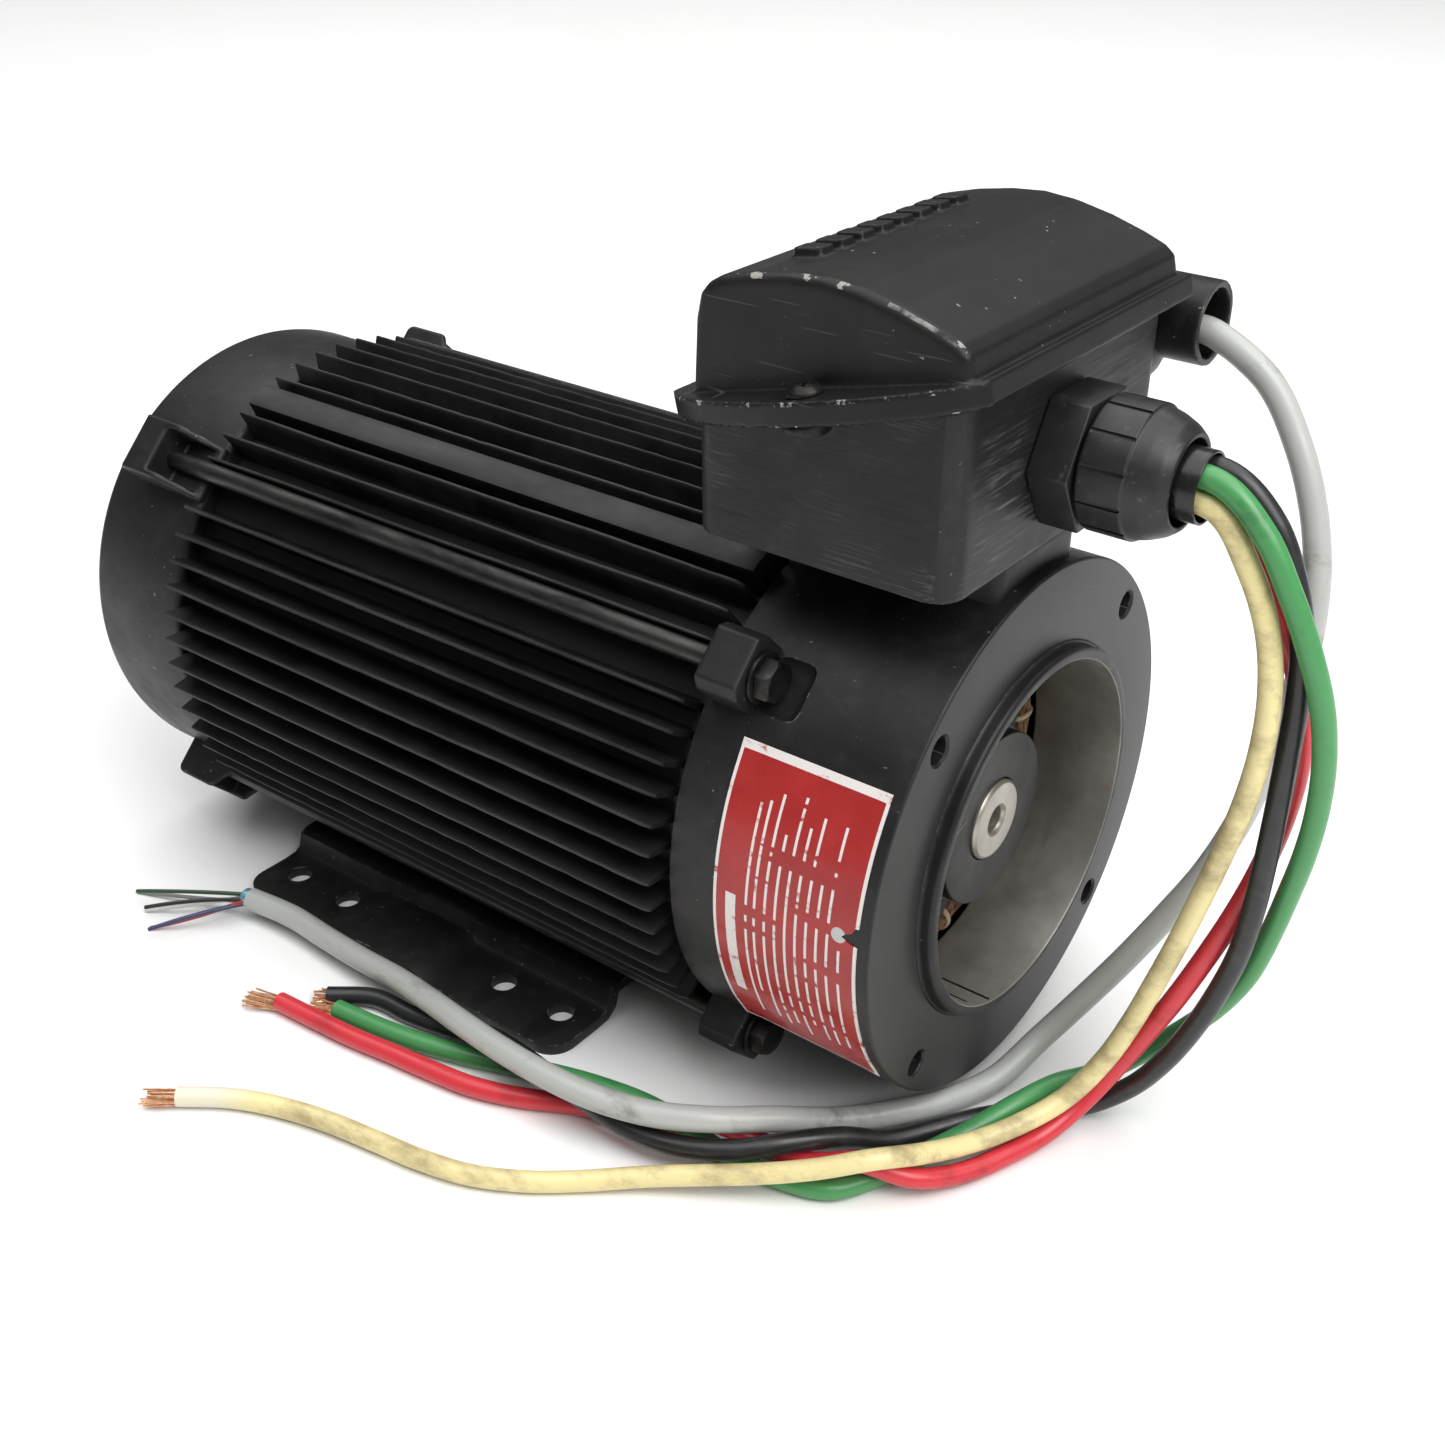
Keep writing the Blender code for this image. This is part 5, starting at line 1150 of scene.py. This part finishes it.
def make_box():
    """Cast terminal box with a sloping rim, a screw ear at each end and its wire entries."""
    plan = rounded_outline(BOX_REAR, BOX_FRONT, BOX_NEAR_Y, BOX_FAR_Y, 8.0)
    box = prism(plan, 60, at(0, 0, BOX_BOTTOM))
    ears = [rod(6.0, 8, at(LID_SCREW_X, y, 135.2)) for y in (BOX_NEAR_Y - 4.6, BOX_FAR_Y + 4.6)]
    combine(box, ears, "UNION")
    cuts = [sloped_block(JOINT_HEIGHT + 1.25, True), inner_block(4.5, BOX_BOTTOM + 4.5, 160, 4.0),
            rod(11.3, 24, at(BOX_FRONT, 0, GLAND_Z, ALONG_X)),
            rod(9.3, 24, at(ELBOW_ENTRY_X, BOX_FAR_Y, ELBOW_ENTRY_Z, ALONG_Y))]
    combine(box, cuts)
    cast(box, 0.6, 3)
    # both brushed paints carry painted highlight streaks
    side = brushed_paint("box_side", (0.012, 0.012, 0.0125), (60, 1400, 1400), 0, 0.42)
    front = brushed_paint("box_front", (0.013, 0.013, 0.0135), (900, 60, 900), 28, 0.44)
    done(box, "terminal_box_cast", "terminal_box_base", slot="grey_paint",
         materials=(CAST_BLACK, side, front), choose=box_finish)


def lip_outline(grow=0.0):
    """The lid's rim in the joint plane: straight front and back, bowed ends, the far one squarer."""
    rear = joint_x(BOX_REAR - 6.5) - grow
    front = joint_x(BOX_FRONT + 6.0) + grow
    ends = []
    for side, corner_y, bow, cut in ((1, 61.5, 7.0, 2.5), (-1, 55.5, 9.5, 6.0)):
        end = []
        for i in range(31):
            t = i / 30
            y = corner_y + grow + bow * math.sin(math.pi * t) ** 0.8 - cut * abs(2 * t - 1) ** 6
            end.append((front + (rear - front) * t, side * y))
        ends += end if side > 0 else end[::-1]
    return ends


def dome_profile(inset):
    """The lid's barrel in side view, x and z, from the rear foot over the crown to the front."""
    top = [(-75.6, 159.4), (-72, 161.6), (-62, 164.2), (-51, 166.1), (-41, 166.9), (-31, 166.1), (-20, 163.9),
           (-10, 161.0), (-3.5, 158.6), (-0.5, 156.3)]
    points = [(-80.2, 120), (-80.2, 133), (-79.4, 150), (-78.0, 156.5)] + top + [(0.6, 152), (1.2, 130)]
    return [(x + (-40 - x) * inset / 40, z - (inset if z > 135 else 0)) for x, z in points]


def dome(inset, wall):
    turn = Matrix(((1, 0, 0), (0, 0, -1), (0, 1, 0))).to_4x4()
    width = BOX_FAR_Y - BOX_NEAR_Y - 2 * wall
    return prism(dome_profile(inset), width, at(0, BOX_FAR_Y - wall, 0, turn))


def on_joint(y, height):
    return joint_frame(height) @ Matrix.Translation((joint_x(LID_SCREW_X) * MM, y * MM, 0))


def make_lid():
    """Cast lid: a rim plate on the joint under a barrel cover, with plain raised pads on its crown."""
    lid = prism(lip_outline(), LID_RIM, joint_frame(JOINT_HEIGHT + GASKET))
    cover = soften(dome(0.0, 0.0), 2.6, 4, 50)
    combine(cover, [sloped_block(JOINT_HEIGHT + 3.0, False)])
    combine(lid, [cover], "UNION")
    hollow = dome(3.6, 3.8)
    holes = [rod(2.6, 40, on_joint(y, JOINT_HEIGHT)) for y in LID_SCREW_Y]
    combine(lid, [hollow, *holes])
    pads = [block((8.6, 6.4, 5.0), at(-57.5, 9.2 * (index - 3.5), 165.0, turned(y=-9)), 0.7)
            for index in range(8)]
    combine(lid, pads, "UNION")
    cast(lid, 0.6, 4)
    done(lid, "lid_cast", "box_lid", materials=lid_paint())
    for index, y in enumerate(LID_SCREW_Y, 1):
        placing = on_joint(y, SEAT_HEIGHT) @ turned(y=-90)
        head = lathe([(-9.0, 0.0), (-9.0, 1.8), (0.3, 1.8), (0.3, 4.7), (1.3, 4.6), (2.4, 3.6), (3.1, 2.0),
                      (3.3, 0.0)], placing, 64, 0.3, False)
        upright = on_joint(y, SEAT_HEIGHT + 2.9)
        cross = [block((5.0, 1.1, 2.4), upright @ Matrix.Rotation(math.radians(turn), 4, "Z"))
                 for turn in (20, 110)]
        combine(head, cross)
        done(head, f"lid_screw_head_{index}", f"lid_screw_{index}", slot="bolt_steel",
             materials=dark_steel())


def make_gland():
    """Power gland: a hexagon body, a cap with twelve panels and a domed mouth, and a glossy sleeve."""
    turn = ALONG_X @ Matrix.Rotation(math.radians(30), 4, "Z")
    body = prism(hexagon(19.6), 11.6, at(BOX_FRONT + 0.3, 0, GLAND_Z, turn))
    combine(body, [axial_rod(11.0, -8, 30, 0, GLAND_Z)], "UNION")
    combine(body, [axial_rod(9.9, -12, 44, 0, GLAND_Z)])
    soften(body, 0.7)
    done(body, "gland_hexagon", "gland_body", slot="black_nylon", materials=NYLON)
    cap = lathe([(24.4, 17.8), (12.6, 17.8), (12.0, 17.4), (12.0, 11.3), (34.8, 11.3), (34.8, 12.6),
                 (32.2, 14.6), (28.5, 16.2), (24.8, 17.2)], at(0, 0, GLAND_Z), 192, 0.6)
    grooves = []
    for index in range(12):
        degrees = 30 * index + 15
        y, z = around(18.2, degrees)
        grooves.append(block((12.4, 1.3, 2.2), at(18.4, y, GLAND_Z + z, about_axis(degrees)), 0.4, 2))
    combine(cap, grooves)
    done(cap, "gland_cap_ribbed", "gland_cap", slot="black_nylon", materials=NYLON)
    sleeve = lathe([(40.2, 9.5), (-4.0, 9.5), (-4.0, 8.7), (40.2, 8.7)], at(0, 0, GLAND_Z), 96, 0.35)
    done(sleeve, "gland_sleeve_glossy", "gland_sleeve", slot="black_rubber", materials=RUBBER)


def make_elbow():
    """Signal elbow on the box's far end, cast round, and the bush in its mouth."""
    body = axial_rod(12.0, -32, 6, ELBOW_Y, ELBOW_Z, 96)
    for radius, length, y in ((11.0, 15.4, 65.0), (8.9, 20.0, 61.0)):
        combine(body, [rod(radius, length, at(ELBOW_ENTRY_X, y, ELBOW_ENTRY_Z, ALONG_Y))], "UNION")
    relief = prism(lip_outline(0.7), 14, joint_frame(JOINT_HEIGHT + 0.9))
    combine(body, [rod(6.0, 36, at(ELBOW_ENTRY_X, 60, ELBOW_ENTRY_Z, ALONG_Y)),
                   axial_rod(9.8, -22, 12, ELBOW_Y, ELBOW_Z), relief])
    cast(body, 0.5, 4)
    done(body, "elbow_cast", "elbow_body")
    bush = lathe([(-1.4, 8.8), (-2.0, 9.4), (-12.0, 9.4), (-12.0, 7.2), (-1.4, 7.2)],
                 at(0, ELBOW_Y, ELBOW_Z), 64, 0.3)
    done(bush, "elbow_bush_ring", "elbow_bush", slot="black_rubber", materials=NYLON)


make_box()
make_lid()
make_gland()
make_elbow()


# Label


def make_label():
    """A thin vinyl sheet bent round the bell's near side, its ends lifting slightly."""
    bm = bmesh.new()
    rows = []
    for i in range(71):
        row = []
        for j in range(48):
            lift = 0.35 + 0.3 * smoothstep(1 - min(i, 70 - i) / 3) * smoothstep(1 - min(j, 47 - j) / 6)
            row.append(bm.verts.new(place(-50.5 + j, *around(FLANGE_RADIUS + lift, 146 + i))))
        rows.append(row)
    for near, far in zip(rows, rows[1:]):
        for j in range(47):
            bm.faces.new((near[j], far[j], far[j + 1], near[j + 1]))
    label = shape(bm, Matrix.Identity(4))
    if sum(face.normal.y for face in label.data.polygons) > 0:
        label.data.flip_normals()
    skin = label.modifiers.new("vinyl", "SOLIDIFY")
    skin.thickness = 0.3 * MM
    skin.offset = -1.0
    settle(label)
    nick = prism([(-8.6, 7.4), (-7.4, 8.8), (-5.6, 9.6), (-4.4, 11.6), (-2, 12), (-2, 5.6), (-5.2, 6.2)], 20,
                 at(0, -72, 0, ALONG_Y))
    combine(label, [nick])
    done(label, "label_vinyl_sheet", "front_label", slot="label_vinyl", materials=label_print())


make_label()


# CAD nodes that keep their own shape get the same finishes


def refinish(material, *nodes):
    for node in nodes:
        for material_slot in bpy.data.objects[node].material_slots:
            material_slot.material = material


def numbered(stem, count):
    return [f"{stem}_{i}" for i in range(1, count + 1)]


refinish(dark_steel(), *numbered("base_screw", 4), *numbered("box_screw", 2), "rotor_band")
refinish(BRIGHT, "front_bearing_inner_race", "front_bearing_outer_race", "rear_bearing_inner_race",
         "rear_bearing_outer_race", "wave_spring")
BRASS = turned_metal("brass_turned", (0.6, 0.42, 0.16), 0.32, 0.2)
refinish(BRASS, "front_bearing_ball_cage", "rear_bearing_ball_cage", "earth_screw")
refinish(laminated(), "rotor_core", "stator_core", "feedback_rotor")
refinish(turned_metal("magnet_grey", (0.26, 0.26, 0.27), 0.4, 0.2), *numbered("rotor_magnet", 6))
refinish(lacquer(), "stator_winding")
refinish(moulded_plastic("phenolic_brown", (0.2, 0.08, 0.04), 0.45), "terminal_block", "feedback_stator")
refinish(RUBBER, "box_gasket")


# Floor and light


def make_floor():
    bm = bmesh.new()
    corners = [bm.verts.new(corner) for corner in ((-9, -9, 0), (9, -9, 0), (9, 9, 0), (-9, 9, 0))]
    bm.faces.new(corners)
    floor = shape(bm, Matrix.Identity(4))
    floor.name = "floor"
    paper = Finish("floor_paper", 0.0, 0.2)
    tone = paper.mix(paper.noise(3.0, 3), (0.86, 0.86, 0.855), (0.9, 0.9, 0.9))
    paper.tree.links.new(tone, paper.shader.inputs["Base Color"])
    paper.shader.inputs["Roughness"].default_value = 0.9
    floor.data.materials.append(paper.material)


def make_light(name, spot, target, size, power):
    """A soft square light that faces a point."""
    lamp = bpy.data.lights.new(name, "AREA")
    lamp.shape = "SQUARE"
    lamp.size = size
    lamp.energy = power
    obj = added(name, lamp)
    obj.location = spot
    obj.rotation_euler = (Vector(target) - Vector(spot)).to_track_quat("-Z", "Y").to_euler()


def make_studio():
    make_floor()
    make_light("sky_panel", (-0.35, 0.45, 2.9), (-0.25, 0.3, 0.0), 4.6, 150)
    make_light("key_light", (1.3, -0.35, 1.5), (0.0, 0.0, 0.1), 1.3, 30)
    world = bpy.data.worlds.new("studio")
    bpy.context.scene.world = world
    world.use_nodes = True
    sky = world.node_tree.nodes["Background"]
    sky.inputs["Color"].default_value = (1.0, 0.995, 0.98, 1.0)
    sky.inputs["Strength"].default_value = 0.16
    bpy.context.scene.view_settings.view_transform = "Standard"


make_studio()
